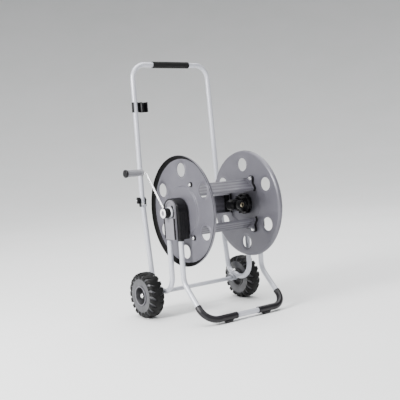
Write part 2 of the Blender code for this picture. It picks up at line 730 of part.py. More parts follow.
def build():
    clear_scene()
    mats = {name: make_material(name) for name in COLORS}
    cart = make_empty("cart", (CART_X, CART_Y, 0))
    drum = make_empty("drum_axis", (0, 0, AXLE_Z), cart)
    fold = make_empty("handle_axis", JOINT, cart)
    crank_pin = make_empty("crank_grip_axis", Vector((-CRANK_X, 0, AXLE_Z)) + CRANK_TIP, cart)
    inlet = make_empty("inlet_axis", (INLET_IN, 0, AXLE_Z), cart)

    add("front_leg_tube", front_leg_tube(), mats["tube"], cart)
    add("cross_tube", cross_tube(), mats["tube"], cart)
    add("axle_rod", axle_rod(), mats["steel"], cart)
    for side in (LEFT, RIGHT):
        end = side_name(side)
        add(f"side_tube_{end}", side_tube(side), mats["tube"], cart)
        add(f"foot_{end}", foot(side), mats["rubber"], cart)
        add(f"axle_bracket_{end}", axle_bracket(side), mats["tube"], cart)
        add(f"bracket_bolt_{end}", bracket_bolt(side), mats["steel"], cart)
        add(f"axle_cap_{end}", axle_cap(side), mats["steel"], cart)
        add(f"hub_body_{end}", hub_body(side), mats["black"], cart)
        add(f"hub_cover_{end}", hub_cover(side), mats["cover"], cart)
        add(f"bush_{end}", bush(side), mats["black"], cart)
        for place, z in zip(("lower", "upper"), screw_heights()):
            add(f"cover_screw_{place}_{end}", cover_screw(side, z), mats["black"], cart)
        add(f"joint_fork_{end}", joint_fork(side), mats["black"], cart)
        add(f"pivot_bolt_{end}", pivot_bolt(side), mats["black"], cart)
        hub = make_empty(f"wheel_axis_{end}", (side * WHEEL_IN, WHEEL_Y, WHEEL_R), cart)
        add(f"tyre_{end}", tyre(side), mats["rubber"], hub)
        add(f"rim_{end}", rim(side), mats["black"], hub)
        pivot = make_empty(f"knob_axis_{end}", JOINT + Vector((side * SIDE_X, 0, 0)), cart)
        add(f"wing_knob_{end}", wing_knob(side), mats["black"], pivot)
        add(f"flange_{end}", flange(side), mats["sheet"], drum)
        for place, angle in BAR_ANGLES.items():
            add(f"bar_bolt_{place}_{end}", bar_bolt(side, angle), mats["steel"], drum)

    add("handle_tube", handle_tube(), mats["tube"], fold)
    add("handle_grip", handle_grip(), mats["foam"], fold)
    add("nozzle_clip", nozzle_clip(), mats["black"], fold)

    for place, angle in BAR_ANGLES.items():
        add(f"drum_bar_{place}", drum_bar(angle), mats["sheet"], drum)
    add("drum_hub_left", drum_hub(LEFT, 0.0240, 0.045), mats["black"], drum)
    add("drum_hub_right", drum_hub(RIGHT, 0.0300, 0.040), mats["black"], drum)
    add("crank_shaft", crank_shaft(), mats["steel"], drum)
    add("crank_hub", crank_hub(), mats["black"], drum)
    add("crank_rod", crank_rod(), mats["steel"], drum)
    add("crank_cap", crank_cap(), mats["steel"], drum)
    add("water_spindle", water_spindle(), mats["black"], drum)
    add("outlet_elbow", outlet_elbow(), mats["black"], drum)
    add("outlet_collar", outlet_collar(), mats["black"], drum)
    add("outlet_insert", outlet_insert(), mats["brass"], drum)

    add("crank_grip", crank_grip(), mats["grey_grip"], crank_pin)
    add("crank_grip_cap", crank_grip_cap(), mats["black"], crank_pin)
    add("inlet_elbow", inlet_elbow(), mats["black"], inlet)


build()
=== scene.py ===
"""Looks for the garden hose reel cart: smooth tubes, pressed sheet, moulded plastic and plated steel.

Metres, +Z up. Points are cart coordinates: x = 0 is the middle of the drum, y = 0 is the reel axis and z = 0
is the floor. place_piece moves a finished piece from there to where the frame's own reel is.
"""

from math import atan2, ceil, cos, degrees, exp, pi, radians, sin, tan

import bmesh
import bpy
from mathutils import Matrix, Vector


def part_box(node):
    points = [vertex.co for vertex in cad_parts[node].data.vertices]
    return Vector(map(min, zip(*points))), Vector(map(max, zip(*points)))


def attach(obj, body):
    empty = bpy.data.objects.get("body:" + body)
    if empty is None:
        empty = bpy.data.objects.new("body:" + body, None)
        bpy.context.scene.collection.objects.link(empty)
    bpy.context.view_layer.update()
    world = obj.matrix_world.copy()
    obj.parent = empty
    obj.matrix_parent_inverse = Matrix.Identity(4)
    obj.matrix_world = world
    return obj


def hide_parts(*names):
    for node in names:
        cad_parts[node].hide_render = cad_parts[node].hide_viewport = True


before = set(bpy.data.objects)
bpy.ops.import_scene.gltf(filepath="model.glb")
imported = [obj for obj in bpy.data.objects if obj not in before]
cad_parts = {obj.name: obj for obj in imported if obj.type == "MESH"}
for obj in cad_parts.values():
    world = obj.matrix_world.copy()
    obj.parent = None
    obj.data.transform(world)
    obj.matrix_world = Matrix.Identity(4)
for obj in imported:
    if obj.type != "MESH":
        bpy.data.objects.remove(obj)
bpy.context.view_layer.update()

LEFT, RIGHT = -1, 1
SIDES = {"left": LEFT, "right": RIGHT}
DRUM_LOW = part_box("flange_left")[0]
DRUM_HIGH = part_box("flange_right")[1]

# Driving sizes
CART = Vector(((DRUM_LOW[0] + DRUM_HIGH[0]) / 2, (DRUM_LOW[1] + DRUM_HIGH[1]) / 2, 0.0))
FLANGE_R = 0.2
DRUM_HALF = 0.1385
SHEET = 0.0012
AXLE_Z = 0.392
TUBE_R = 0.0095
TUBE_BORE = 0.0082
SIDE_X = 0.18
LEG_A_Y, LEG_B_Y = 0.045, -0.028
LEG_TOP_Z = 0.3445
WHEEL_Y, WHEEL_R = 0.153, 0.085
WHEEL_IN, WHEEL_OUT = 0.197, 0.257
BEAD_R = 0.0365
AXLE_ROD_HALF, AXLE_ROD_R = 0.2495, 0.004
CROSS_TUBE_HALF = 0.1655
U_LOW_FRONT = Vector((SIDE_X, LEG_A_Y, 0.072))
U_LOW_REAR = Vector((SIDE_X, 0.178, 0.118))
JOINT = Vector((SIDE_X, 0.215, 0.431))
SIDE_TUBE_TOP = 0.4052
KNEE = Vector((SIDE_X, LEG_B_Y, 0.142))
FRONT_CORNER = Vector((SIDE_X, -0.15, 0.019))
LEG_RADII = [0.06, 0.055]
FOOT_R, FOOT_WALL = 0.0125, 0.0021
FOOT_END_X = 0.048
PAD_X = 0.085
HANDLE_FOOT = JOINT + Vector((0, 0, 0.02))
HANDLE_TOP = Vector((0.173, 0.232, 0.942))
GRIP_HALF, GRIP_R = 0.083, 0.0126
CLIP_Z, CLIP_HEIGHT, CRADLE_X = 0.762, 0.038, 0.0365
PLATEAU_R, PLATEAU_RISE = 0.09, 0.006
LIP_DEPTH = 0.014
HOLE_R, HOLE_CIRCLE, HOLE_COLLAR = 0.0245, 0.147, 0.0085
HOLE_ANGLES = [30 + 60 * i for i in range(6)]
BAR_R, BAR_WIDTH = 0.088, 0.068
BAR_BOLT_CIRCLE = 0.109
BAR_ANGLES = {"upper": 60, "lower": -60, "rear": 180}
SADDLE = 0.009
BODY_IN, BODY_OUT = 0.15, 0.1925
BODY_HALF, BODY_Y = 0.049, 0.0085
PLATE_OUT, COVER_OUT, PANEL_OUT = 0.1985, 0.205, 0.2085
PANEL_HALF, PANEL_TOP = 0.0285, AXLE_Z - 0.0185
COVER_HALF, COVER_Y = 0.03, -0.001
COVER_ARCH_Z = AXLE_Z + 0.014
HOUSING_BASE = 0.296
CRANK_X = 0.2175
CRANK_TIP = Vector((0.0, 0.115, 0.146))
ROD_TIP_X = 0.3025
ROD_R = 0.0036
INLET_IN, INLET_OUT = 0.2072, 0.232
OUTLET_X, OUTLET_MOUTH = 0.0905, -0.046
ELBOW_R, ELBOW_BORE = 0.011, 0.0075
CAMERA_PLACE = Vector((-1.614, -2.176, 0.606))
CAMERA_YAW, CAMERA_PITCH, CAMERA_ROLL = 35.73, -3.51, -3.89
CAMERA_LENS, CAMERA_SHIFT = 66.34, (-0.009, -0.013)
OUTLINE_STEPS = 3
SHARP_ANGLE, BEVEL_ANGLE = 40, 35  # degrees


# Shapes

def rounded(profile, radius, closed=False):
    """An outline whose corners are replaced by short curves."""
    points = [Vector(p) for p in profile]
    if not radius:
        return points
    count = len(points)
    corners = range(count) if closed else range(1, count - 1)
    out = [] if closed else [points[0]]
    for i in corners:
        corner, before, after = points[i], points[i - 1], points[(i + 1) % count]
        reach = min(radius, (before - corner).length * 0.45, (after - corner).length * 0.45)
        start = corner + (before - corner).normalized() * reach
        end = corner + (after - corner).normalized() * reach
        for k in range(OUTLINE_STEPS + 1):
            t = k / OUTLINE_STEPS
            out.append(start.lerp(corner, t).lerp(corner.lerp(end, t), t))
    if not closed:
        out.append(points[-1])
    return out


def bridge(bm, first, second):
    """Faces between two loops of vertices; a loop of one vertex is a pole."""
    count = max(len(first), len(second))
    for k in range(count):
        n = (k + 1) % count
        corners = [first[k % len(first)], first[n % len(first)], second[n % len(second)],
                   second[k % len(second)]]
        bm.faces.new(list(dict.fromkeys(corners)))


def skin(bm, loops, closed=False):
    """Faces between each loop and the next, and back to the first one where closed."""
    for first, second in zip(loops, loops[1:] + loops[:int(closed)]):
        bridge(bm, first, second)


def turned(bm, profile, place=Matrix(), segments=64, closed=False, radius=0.0005, flutes=None):
    """A profile of (x, r) points turned about X. flutes is (count, depth, smallest radius that has them)."""
    loops = []
    for x, r in rounded(profile, radius, closed):
        if r < 1e-7:
            loops.append([bm.verts.new(place @ Vector((x, 0, 0)))])
            continue
        loop = []
        for k in range(segments):
            angle = 2 * pi * k / segments
            reach = r
            if flutes and r > flutes[2]:
                reach -= flutes[1] * (0.5 - 0.5 * cos(angle * flutes[0])) ** 2
            loop.append(bm.verts.new(place @ Vector((x, reach * cos(angle), reach * sin(angle)))))
        loops.append(loop)
    skin(bm, loops, closed)


def lathed(*shape, **options):
    """A new bmesh that holds one turned shape."""
    bm = bmesh.new()
    turned(bm, *shape, **options)
    return bm


def sleeve(bm, x0, x1, r_out, r_in, place=Matrix(), **options):
    turned(bm, [(x0, r_in), (x0, r_out), (x1, r_out), (x1, r_in)], place, closed=True, **options)


def disc(bm, x0, x1, r, place=Matrix(), **options):
    turned(bm, [(x0, 0), (x0, r), (x1, r), (x1, 0)], place, **options)


def fillet_path(corners, radii, step=4):
    """Points along a polyline whose inner corners are rounded, one every 4 degrees."""
    path = [corners[0]]
    for before, corner, after, r in zip(corners, corners[1:], corners[2:], radii):
        a = (before - corner).normalized()
        b = (after - corner).normalized()
        half = a.angle(b) / 2
        steps = ceil(degrees(pi - 2 * half) / step)
        centre = corner + (a + b).normalized() * (r / sin(half))
        start = corner + a * (r / tan(half)) - centre
        end = corner + b * (r / tan(half)) - centre
        path += [centre + start.slerp(end, i / steps).normalized() * r for i in range(steps + 1)]
    path.append(corners[-1])
    return path


def rings_along(bm, path, radii, segments):
    """Loops of vertices round a path, without twist."""
    tangents = [(path[min(i + 1, len(path) - 1)] - path[max(i - 1, 0)]).normalized()
                for i in range(len(path))]
    side = tangents[0].orthogonal().normalized()
    loops = []
    for point, tangent, previous, r in zip(path, tangents, [tangents[0]] + tangents[:-1], radii):
        side = previous.rotation_difference(tangent) @ side
        other = tangent.cross(side)
        angles = [2 * pi * k / segments for k in range(segments)]
        loops.append([bm.verts.new(point + (side * cos(t) + other * sin(t)) * r) for t in angles])
    return loops


def swept(bm, path, radius, bore=0.0, segments=32, chamfer=0.0006):
    """A bar or tube along a path, with rounded rims."""
    rims = [a.lerp(b, min(0.5, chamfer / (b - a).length)) for a, b in (path[:2], path[:-3:-1])]
    points = [path[0], rims[0]] + list(path[1:-1]) + [rims[1], path[-1]]
    outer_r = [radius - chamfer] + [radius] * (len(points) - 2) + [radius - chamfer]
    outer = rings_along(bm, points, outer_r, segments)
    skin(bm, outer)
    if not bore:
        bm.faces.new(outer[0])
        bm.faces.new(outer[-1])
        return
    inner = rings_along(bm, points, [bore] * len(points), segments)
    skin(bm, inner)
    bridge(bm, outer[0], inner[0])
    bridge(bm, outer[-1], inner[-1])


def prism(bm, outline, x0, x1, place=Matrix()):
    """A (y, z) outline extruded along X."""
    loops = [[bm.verts.new(place @ Vector((x, y, z))) for y, z in outline] for x in (x0, x1)]
    bridge(bm, *loops)
    for loop in loops:
        bm.faces.new(loop)


def block(bm, low, high, place=Matrix()):
    outline = [(low[1], low[2]), (high[1], low[2]), (high[1], high[2]), (low[1], high[2])]
    prism(bm, outline, low[0], high[0], place)


def arc(x, y, r, start, stop, steps):
    """Points along a circle between two angles, in radians."""
    angles = [start + (stop - start) * i / steps for i in range(steps + 1)]
    return [(x + r * cos(t), y + r * sin(t)) for t in angles]


def arch(centre_y, half, base, top_centre, steps=40):
    """A tombstone outline: a flat base and a round top."""
    return [(centre_y - half, base), (centre_y + half, base)] + arc(centre_y, top_centre, half, 0, pi, steps)


def at(x=0.0, y=0.0, z=0.0, turn=0.0, axis="X"):
    """A place, turned by some degrees about one axis."""
    return Matrix.Translation((x, y, z)) @ Matrix.Rotation(radians(turn), 4, axis)


REEL = at(0, 0, AXLE_Z)
WHEEL_AXIS = at(0, WHEEL_Y, WHEEL_R)


def reel_spot(radius, angle):
    """A place on a circle round the reel axis; 0 degrees is the front and 90 the top."""
    return at(0, -radius * cos(radians(angle)), AXLE_Z + radius * sin(radians(angle)))


# Materials

class Nodes:
    """Short calls for a material's node tree."""

    def __init__(self, name):
        self.mat = bpy.data.materials.new(name)
        self.mat.use_nodes = True
        self.tree = self.mat.node_tree
        self.shader = self.tree.nodes["Principled BSDF"]
        self.coords = self.add("ShaderNodeTexCoord").outputs["Object"]

    def add(self, kind, **inputs):
        node = self.tree.nodes.new(kind)
        for key, value in inputs.items():
            self.put(node.inputs[key.replace("_", " ")], value)
        return node

    def put(self, socket, value):
        if isinstance(value, bpy.types.NodeSocket):
            self.tree.links.new(value, socket)
        else:
            socket.default_value = value

    def stretched(self, scale):
        return self.add("ShaderNodeMapping", Vector=self.coords, Scale=scale).outputs["Vector"]

    def noise(self, scale, detail=4.0, vector=None):
        vector = vector or self.coords
        return self.add("ShaderNodeTexNoise", Vector=vector, Scale=scale, Detail=detail).outputs["Fac"]

    def cells(self, scale):
        return self.add("ShaderNodeTexVoronoi", Vector=self.coords, Scale=scale).outputs["Distance"]

    def ramp(self, value, low, high, start=0.0, end=1.0):
        limits = {"From_Min": low, "From_Max": high, "To_Min": start, "To_Max": end}
        return self.add("ShaderNodeMapRange", Value=value, **limits).outputs["Result"]

    def patchy(self, scale, detail, start=0.0, end=1.0):
        """A value that wanders between start and end in soft patches."""
        return self.ramp(self.noise(scale, detail), 0.3, 0.7, start, end)

    def times(self, a, b):
        node = self.add("ShaderNodeMath")
        node.operation = "MULTIPLY"
        self.put(node.inputs[0], a)
        self.put(node.inputs[1], b)
        return node.outputs[0]

    def blend(self, amount, first, second):
        node = self.add("ShaderNodeMix")
        node.data_type = "RGBA"
        self.put(node.inputs["Factor"], amount)
        self.put(node.inputs["A"], first)
        self.put(node.inputs["B"], second)
        return node.outputs["Result"]

    def dusted(self, scale, detail, low, high, amount, color, dust):
        """A colour with patches of a second one over it."""
        patches = self.ramp(self.noise(scale, detail), low, high)
        return self.blend(self.times(patches, amount), tone(*color), tone(*dust))

    def edges(self, low=0.53, high=0.62):
        """1 on worn convex edges, 0 elsewhere, broken up by noise."""
        convex = self.ramp(self.add("ShaderNodeNewGeometry").outputs["Pointiness"], low, high)
        return self.times(convex, self.ramp(self.noise(260), 0.42, 0.62))

    def bump(self, heights):
        """Stacks (height, strength, distance) layers of bump."""
        normal = None
        for height, strength, distance in heights:
            node = self.add("ShaderNodeBump", Height=height, Strength=strength, Distance=distance)
            if normal:
                self.put(node.inputs["Normal"], normal)
            normal = node.outputs["Normal"]
        self.put(self.shader.inputs["Normal"], normal)

    def finish(self, color, roughness, metallic=0.0, shine=0.5):
        values = {"Base Color": color, "Roughness": roughness, "Metallic": metallic,
                  "Specular IOR Level": shine}
        for name, value in values.items():
            self.put(self.shader.inputs[name], value)
        return self.mat


def tone(r, g, b):
    return (r, g, b, 1.0)


def powder_coat(name, light, dark, worn, metallic, rough, rubbed=0.0):
    """Paint with an orange-peel surface, faint clouding, fine scratches and rubbed edges."""
    n = Nodes(name)
    clouds = n.noise(9, 3)
    scratches = n.ramp(n.noise(30, 8, n.stretched((40, 40, 4))), 0.66, 0.8)
    color = n.blend(n.ramp(clouds, 0.35, 0.65), tone(*dark), tone(*light))
    color = n.blend(n.times(scratches, 0.1), color, tone(*worn))
    if rubbed:
        color = n.blend(n.times(n.edges(0.56, 0.66), rubbed), color, tone(*worn))
    n.bump([(n.noise(900, 2), 0.04, 0.0002), (n.noise(2600, 2), 0.03, 0.0001)])
    return n.finish(color, n.patchy(25, 2, rough - 0.03, rough + 0.05), metallic)


def moulded(name, color, lighter, rough, grain=0.12, dust=0.18, shine=0.4):
    """Injection-moulded plastic: fine grain, handling marks and dusty patches."""
    n = Nodes(name)
    base = n.dusted(22, 6, 0.48, 0.75, dust, color, lighter)
    base = n.blend(n.times(n.edges(), 0.35), base, tone(*lighter))
    n.bump([(n.noise(1600, 3), grain, 0.0003), (n.cells(900), grain * 0.5, 0.0002)])
    return n.finish(base, n.patchy(45, 5, rough - 0.06, rough + 0.1), shine=shine)


def plated(name, color, rough):
    """Plated steel with faint drawing marks and dull spots."""
    n = Nodes(name)
    drawn = n.noise(3, 6, n.stretched((8, 300, 300)))
    base = n.dusted(140, 5, 0.58, 0.72, 0.35, color, [c * 0.72 for c in color])
    n.bump([(drawn, 0.05, 0.0002), (n.noise(1200, 2), 0.03, 0.0002)])
    return n.finish(base, n.ramp(drawn, 0.3, 0.7, rough - 0.05, rough + 0.1), 1.0)


def tread_rubber():
    """Black tread with patches of dust and lightly scuffed lug edges."""
    n = Nodes("tread_rubber")
    base = n.dusted(35, 7, 0.45, 0.75, 0.2, (0.002, 0.002, 0.002), (0.022, 0.022, 0.024))
    base = n.blend(n.times(n.edges(0.58, 0.68), 0.2), base, tone(0.05, 0.05, 0.055))
    n.bump([(n.noise(1300, 4), 0.25, 0.0005), (n.noise(200, 4), 0.1, 0.0008)])
    return n.finish(base, n.patchy(50, 5, 0.5, 0.7), shine=0.22)


def sidewall_highlight():
    """The tyre's smooth shoulder and groove walls: satin, with a grey-black colour that is a painted
    highlight on the black tyre, and turning rings.
    """
    n = Nodes("sidewall_highlight")
    base = n.dusted(28, 6, 0.4, 0.75, 0.5, (0.03, 0.03, 0.034), (0.085, 0.085, 0.095))
    n.bump([(n.noise(1500, 3), 0.12, 0.0003), (n.noise(120, 3), 0.08, 0.0005)])
    return n.finish(base, n.patchy(60, 5, 0.3, 0.46), shine=0.6)


def foam():
    """Closed-cell foam with small open cells."""
    n = Nodes("foam")
    cells = n.ramp(n.cells(750), 0.05, 0.45)
    base = n.blend(n.times(n.noise(18, 5), 0.35), tone(0.004, 0.004, 0.004), tone(0.014, 0.014, 0.015))
    n.bump([(cells, 0.35, 0.0005), (n.noise(2200, 2), 0.15, 0.0003)])
    return n.finish(base, n.patchy(300, 3, 0.58, 0.74), shine=0.2)


def turned_brass():
    n = Nodes("turned_brass")
    tarnish = n.ramp(n.noise(220, 6), 0.45, 0.7)
    base = n.blend(n.times(tarnish, 0.5), tone(0.5, 0.44, 0.32), tone(0.26, 0.21, 0.13))
    n.bump([(n.noise(6, 3, n.stretched((30, 400, 30))), 0.08, 0.0002)])
    return n.finish(base, n.ramp(tarnish, 0.0, 1.0, 0.2, 0.42), 1.0)


MATERIALS = {
    "silver": powder_coat("silver_paint", (0.52, 0.53, 0.58), (0.48, 0.49, 0.54), (0.64, 0.64, 0.66),
                          metallic=0.25, rough=0.34),
    "sheet": powder_coat("grey_paint", (0.13, 0.127, 0.148), (0.108, 0.105, 0.124), (0.22, 0.22, 0.24),
                         metallic=0.3, rough=0.36, rubbed=0.4),
    "cover": moulded("grey_plastic", (0.15, 0.147, 0.165), (0.24, 0.24, 0.26), rough=0.42, dust=0.22),
    "black": moulded("black_plastic", (0.003, 0.003, 0.004), (0.028, 0.028, 0.03), rough=0.36, dust=0.1,
                     shine=0.28),
    # The lip ring's matt black is painted shade: it stands in for the shadow inside the flange's rolled lip.
    "trim": moulded("painted_lip_shade", (0.002, 0.002, 0.002), (0.012, 0.012, 0.013), rough=0.62, grain=0.2,
                    dust=0.1, shine=0.12),
    "wheel": moulded("wheel_plastic", (0.02, 0.02, 0.022), (0.075, 0.075, 0.08), rough=0.38, dust=0.25),
    "rubber": moulded("foot_rubber", (0.006, 0.005, 0.007), (0.045, 0.042, 0.05), rough=0.33, grain=0.08,
                      dust=0.12, shine=0.35),
    "grip": moulded("grey_grip", (0.19, 0.19, 0.205), (0.3, 0.3, 0.32), rough=0.44, grain=0.2),
    "white": powder_coat("bright_washer", (0.86, 0.86, 0.87), (0.8, 0.8, 0.81), (0.55, 0.55, 0.56),
                         metallic=0.1, rough=0.25),
    "steel": plated("bright_steel", (0.86, 0.86, 0.87), 0.2),
    "foam": foam(),
    "tread": tread_rubber(),
    "sidewall_highlight": sidewall_highlight(),
    "brass": turned_brass(),
}


# The CAD's material slot under each look, where it isn't black_plastic and the piece doesn't name another
SLOTS = {
    "silver": "silver_tube", "sheet": "grey_sheet", "cover": "grey_plastic", "rubber": "foot_rubber",
    "grip": "grip_plastic", "white": "bright_steel", "steel": "bright_steel", "foam": "foam", "tread": "tyre",
    "brass": "brass",
}


def linked(name, data):
    obj = bpy.data.objects.new(name, data)
    bpy.context.collection.objects.link(obj)
    return obj


def as_object(name, bm):
    """Turns a bmesh into an object with its faces pointing outwards."""
    bmesh.ops.recalc_face_normals(bm, faces=bm.faces)
    mesh = bpy.data.meshes.new(name)
    bm.to_mesh(mesh)
    bm.free()
    return linked(name, mesh)


def place_piece(name, bm, material, body, replaces=(), side=RIGHT, bevel=0.0, extra=(), slot=None):
    """Turns a bmesh in cart coordinates into a shown piece; a left piece is the right one's mirror image."""
    if side == LEFT:
        bmesh.ops.scale(bm, vec=(-1, 1, 1), verts=bm.verts)
    bmesh.ops.translate(bm, vec=CART, verts=bm.verts)
    obj = as_object(name, bm)
    for key in (material, *extra):
        obj.data.materials.append(MATERIALS[key])
    obj.data.shade_smooth()
    obj.data.set_sharp_from_angle(angle=radians(SHARP_ANGLE))
    if bevel:
        modifier = obj.modifiers.new("edges", "BEVEL")
        modifier.width = bevel
        modifier.segments = 3
        modifier.angle_limit = radians(BEVEL_ANGLE)
        modifier.harden_normals = True
    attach(obj, body)
    slot = slot or SLOTS.get(material, "black_plastic")
    if replaces:
        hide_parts(*replaces)
    return obj


# Tubes

def on_slope():
    """The place on the side tube's low stretch above the axle, tilted with the tube."""
    rise = U_LOW_REAR - U_LOW_FRONT
    spot = U_LOW_FRONT + rise * ((WHEEL_Y - 0.006 - U_LOW_FRONT.y) / rise.y)
    return at(*spot, degrees(atan2(rise.z, rise.y)))


def both_sides(right):
    """A path from the left side over to the right one, from the points of the right side."""
    return [Vector((-p.x, p.y, p.z)) for p in right] + right[::-1]


def make_tubes():
    for end, side in SIDES.items():
        slope = (JOINT - U_LOW_REAR).normalized()
        top = JOINT + slope * ((SIDE_TUBE_TOP - JOINT.z) / slope.z)
        bm = bmesh.new()
        corners = [Vector((SIDE_X, LEG_A_Y, LEG_TOP_Z)), U_LOW_FRONT, U_LOW_REAR, top]
        swept(bm, fillet_path(corners, [0.06, 0.035]), TUBE_R, TUBE_BORE)
        place_piece(f"side_frame_{end}", bm, "silver", "frame", [f"side_tube_{end}"], side)
    corners = both_sides([Vector((SIDE_X, LEG_B_Y, LEG_TOP_Z)), KNEE, FRONT_CORNER])
    bm = bmesh.new()
    swept(bm, fillet_path(corners, LEG_RADII + LEG_RADII[::-1]), TUBE_R, TUBE_BORE)
    place_piece("front_leg_frame", bm, "silver", "frame", ["front_leg_tube"])
    bm = bmesh.new()
    sleeve(bm, -CROSS_TUBE_HALF, CROSS_TUBE_HALF, 0.008, 0.006, WHEEL_AXIS, segments=40)
    place_piece("axle_beam", bm, "silver", "frame", ["cross_tube"])
    bm = bmesh.new()
    disc(bm, -AXLE_ROD_HALF, AXLE_ROD_HALF, AXLE_ROD_R, WHEEL_AXIS, segments=28)
    place_piece("axle_pin", bm, "steel", "frame", ["axle_rod"])


def make_handle():
    corners = both_sides([JOINT + Vector((0, 0, -0.012)), HANDLE_FOOT, HANDLE_TOP])
    bm = bmesh.new()
    swept(bm, fillet_path(corners, [0.25, 0.055, 0.055, 0.25]), TUBE_R, TUBE_BORE)
    place_piece("handle_bow", bm, "silver", "handle", ["handle_tube"])
    grip = at(0, HANDLE_TOP.y, HANDLE_TOP.z)
    bm = bmesh.new()
    x, r = -GRIP_HALF, GRIP_R
    end = [(x, TUBE_R + 0.0003), (x, r - 0.0006), (x + 0.0016, r), (x + 0.0075, r), (x + 0.0085, r - 0.0008),
           (x + 0.0095, r)]
    profile = end + [(-x, r) for x, r in end[::-1]]
    turned(bm, profile, grip, closed=True, radius=0.0008)
    for turn in (75, 255):
        ridge = grip @ at(turn=turn)
        block(bm, (x + 0.011, -0.0009, r - 0.001), (-x - 0.011, 0.0009, r + 0.0003), ridge)
    place_piece("grip_sleeve", bm, "foam", "handle", ["handle_grip"])


def c_outline(x, y, r_out, r_in, half_gap, steps=36):
    """An open ring seen from above, with its mouth towards -Y and rounded lips."""
    start = atan2(-(r_in ** 2 - half_gap ** 2) ** 0.5, half_gap)
    stop = pi - start
    middle, lip = (r_out + r_in) / 2, (r_out - r_in) / 2
    first_lip = arc(x + middle * cos(stop), y + middle * sin(stop), lip, stop, stop + pi, 6)[1:-1]
    last_lip = arc(x + middle * cos(start), y + middle * sin(start), lip, start + pi, start + 2 * pi, 6)[1:-1]
    return arc(x, y, r_out, start, stop, steps) + first_lip + arc(x, y, r_in, stop, start, steps) + last_lip


def make_clip():
    """Two spring rings joined by a ribbed web."""
    rise = CLIP_Z + CLIP_HEIGHT / 2 - HANDLE_FOOT.z
    centre = HANDLE_FOOT.lerp(HANDLE_TOP, rise / (HANDLE_TOP.z - HANDLE_FOOT.z))
    x, y = -centre.x, centre.y
    cradle_x = x + CRADLE_X
    upright = Matrix(((0, 1, 0, 0), (0, 0, 1, 0), (1, 0, 0, 0), (0, 0, 0, 1)))
    z0, z1 = CLIP_Z, CLIP_Z + CLIP_HEIGHT
    bm = bmesh.new()
    prism(bm, c_outline(x, y, 0.0122, 0.0101, 0.0082), z0, z1, upright)
    prism(bm, c_outline(cradle_x, y, 0.0172, 0.0146, 0.0106), z0, z1, upright)
    block(bm, (x + 0.0105, y + 0.004, z0 + 0.001), (cradle_x - 0.012, y + 0.0115, z1 - 0.001))
    for i in range(4):
        rib_x = x + 0.0108 + i * 0.0036
        block(bm, (rib_x, y + 0.0012, z0 + 0.0022), (rib_x + 0.0015, y + 0.0045, z1 - 0.0022))
    for z in (z0 + 0.0006, z1 - 0.0026):
        block(bm, (x + 0.01, y + 0.0005, z), (cradle_x - 0.013, y + 0.005, z + 0.002))
    place_piece("spray_clip", bm, "black", "handle", ["nozzle_clip"], bevel=0.0005)


# Feet and axle

def make_foot(end, side):
    upper = FRONT_CORNER + (KNEE - FRONT_CORNER) * 0.37
    inner = Vector((FOOT_END_X, FRONT_CORNER.y, FRONT_CORNER.z))
    path = fillet_path([upper, FRONT_CORNER, inner], LEG_RADII[1:])
    bm = bmesh.new()
    straight = [path[0].lerp(path[1], t / 12) for t in range(12)]
    tail = [path[-2].lerp(path[-1], t / 16) for t in range(1, 17)]
    points = straight + path[1:-1] + tail
    length = [0.0]
    for a, b in zip(points, points[1:]):
        length.append(length[-1] + (b - a).length)
    radii = []
    for s in length:
        lip = exp(-((s - 0.0022) / 0.0016) ** 2) + exp(-((length[-1] - s - 0.0022) / 0.0016) ** 2)
        radii.append(FOOT_R - 0.0005 + 0.0006 * lip + 0.0003 * cos(2 * pi * s / 0.006) * (0.012 < s < 0.03))
    sides = 40
    loops = rings_along(bm, points, radii, sides)
    mouth = Vector((-0.75, -0.4, -0.5))
    slot = [k for k in range(sides) if (loops[0][k].co - points[0]).dot(mouth) > FOOT_R * 0.86]
    for i, (first, second) in enumerate(zip(loops, loops[1:])):
        for k in range(sides):
            if length[i] < 0.026 and k in slot:
                continue
            n = (k + 1) % sides
            bm.faces.new((first[k], first[n], second[n], second[k]))
    sleeve_piece = place_piece(f"foot_sleeve_{end}", bm, "rubber", "frame", [f"foot_{end}"], side)
    wall = sleeve_piece.modifiers.new("wall", "SOLIDIFY")
    wall.thickness = FOOT_WALL
    wall.offset = -1
    bm = bmesh.new()
    y, z_top = FRONT_CORNER.y, FRONT_CORNER.z - TUBE_R - 0.0012
    block(bm, (PAD_X - 0.014, y - 0.0085, 0.0018), (PAD_X + 0.014, y + 0.0085, z_top))
    for i in range(5):
        x = PAD_X - 0.0128 + i * 0.0056
        block(bm, (x, y - 0.008, 0.0), (x + 0.0032, y + 0.008, 0.0022))
    block(bm, (PAD_X - 0.02, y - 0.0055, 0.0062), (PAD_X + 0.02, y + 0.0055, z_top + 0.001))
    place_piece(f"foot_pad_{end}", bm, "rubber", "frame", side=side, bevel=0.0008)


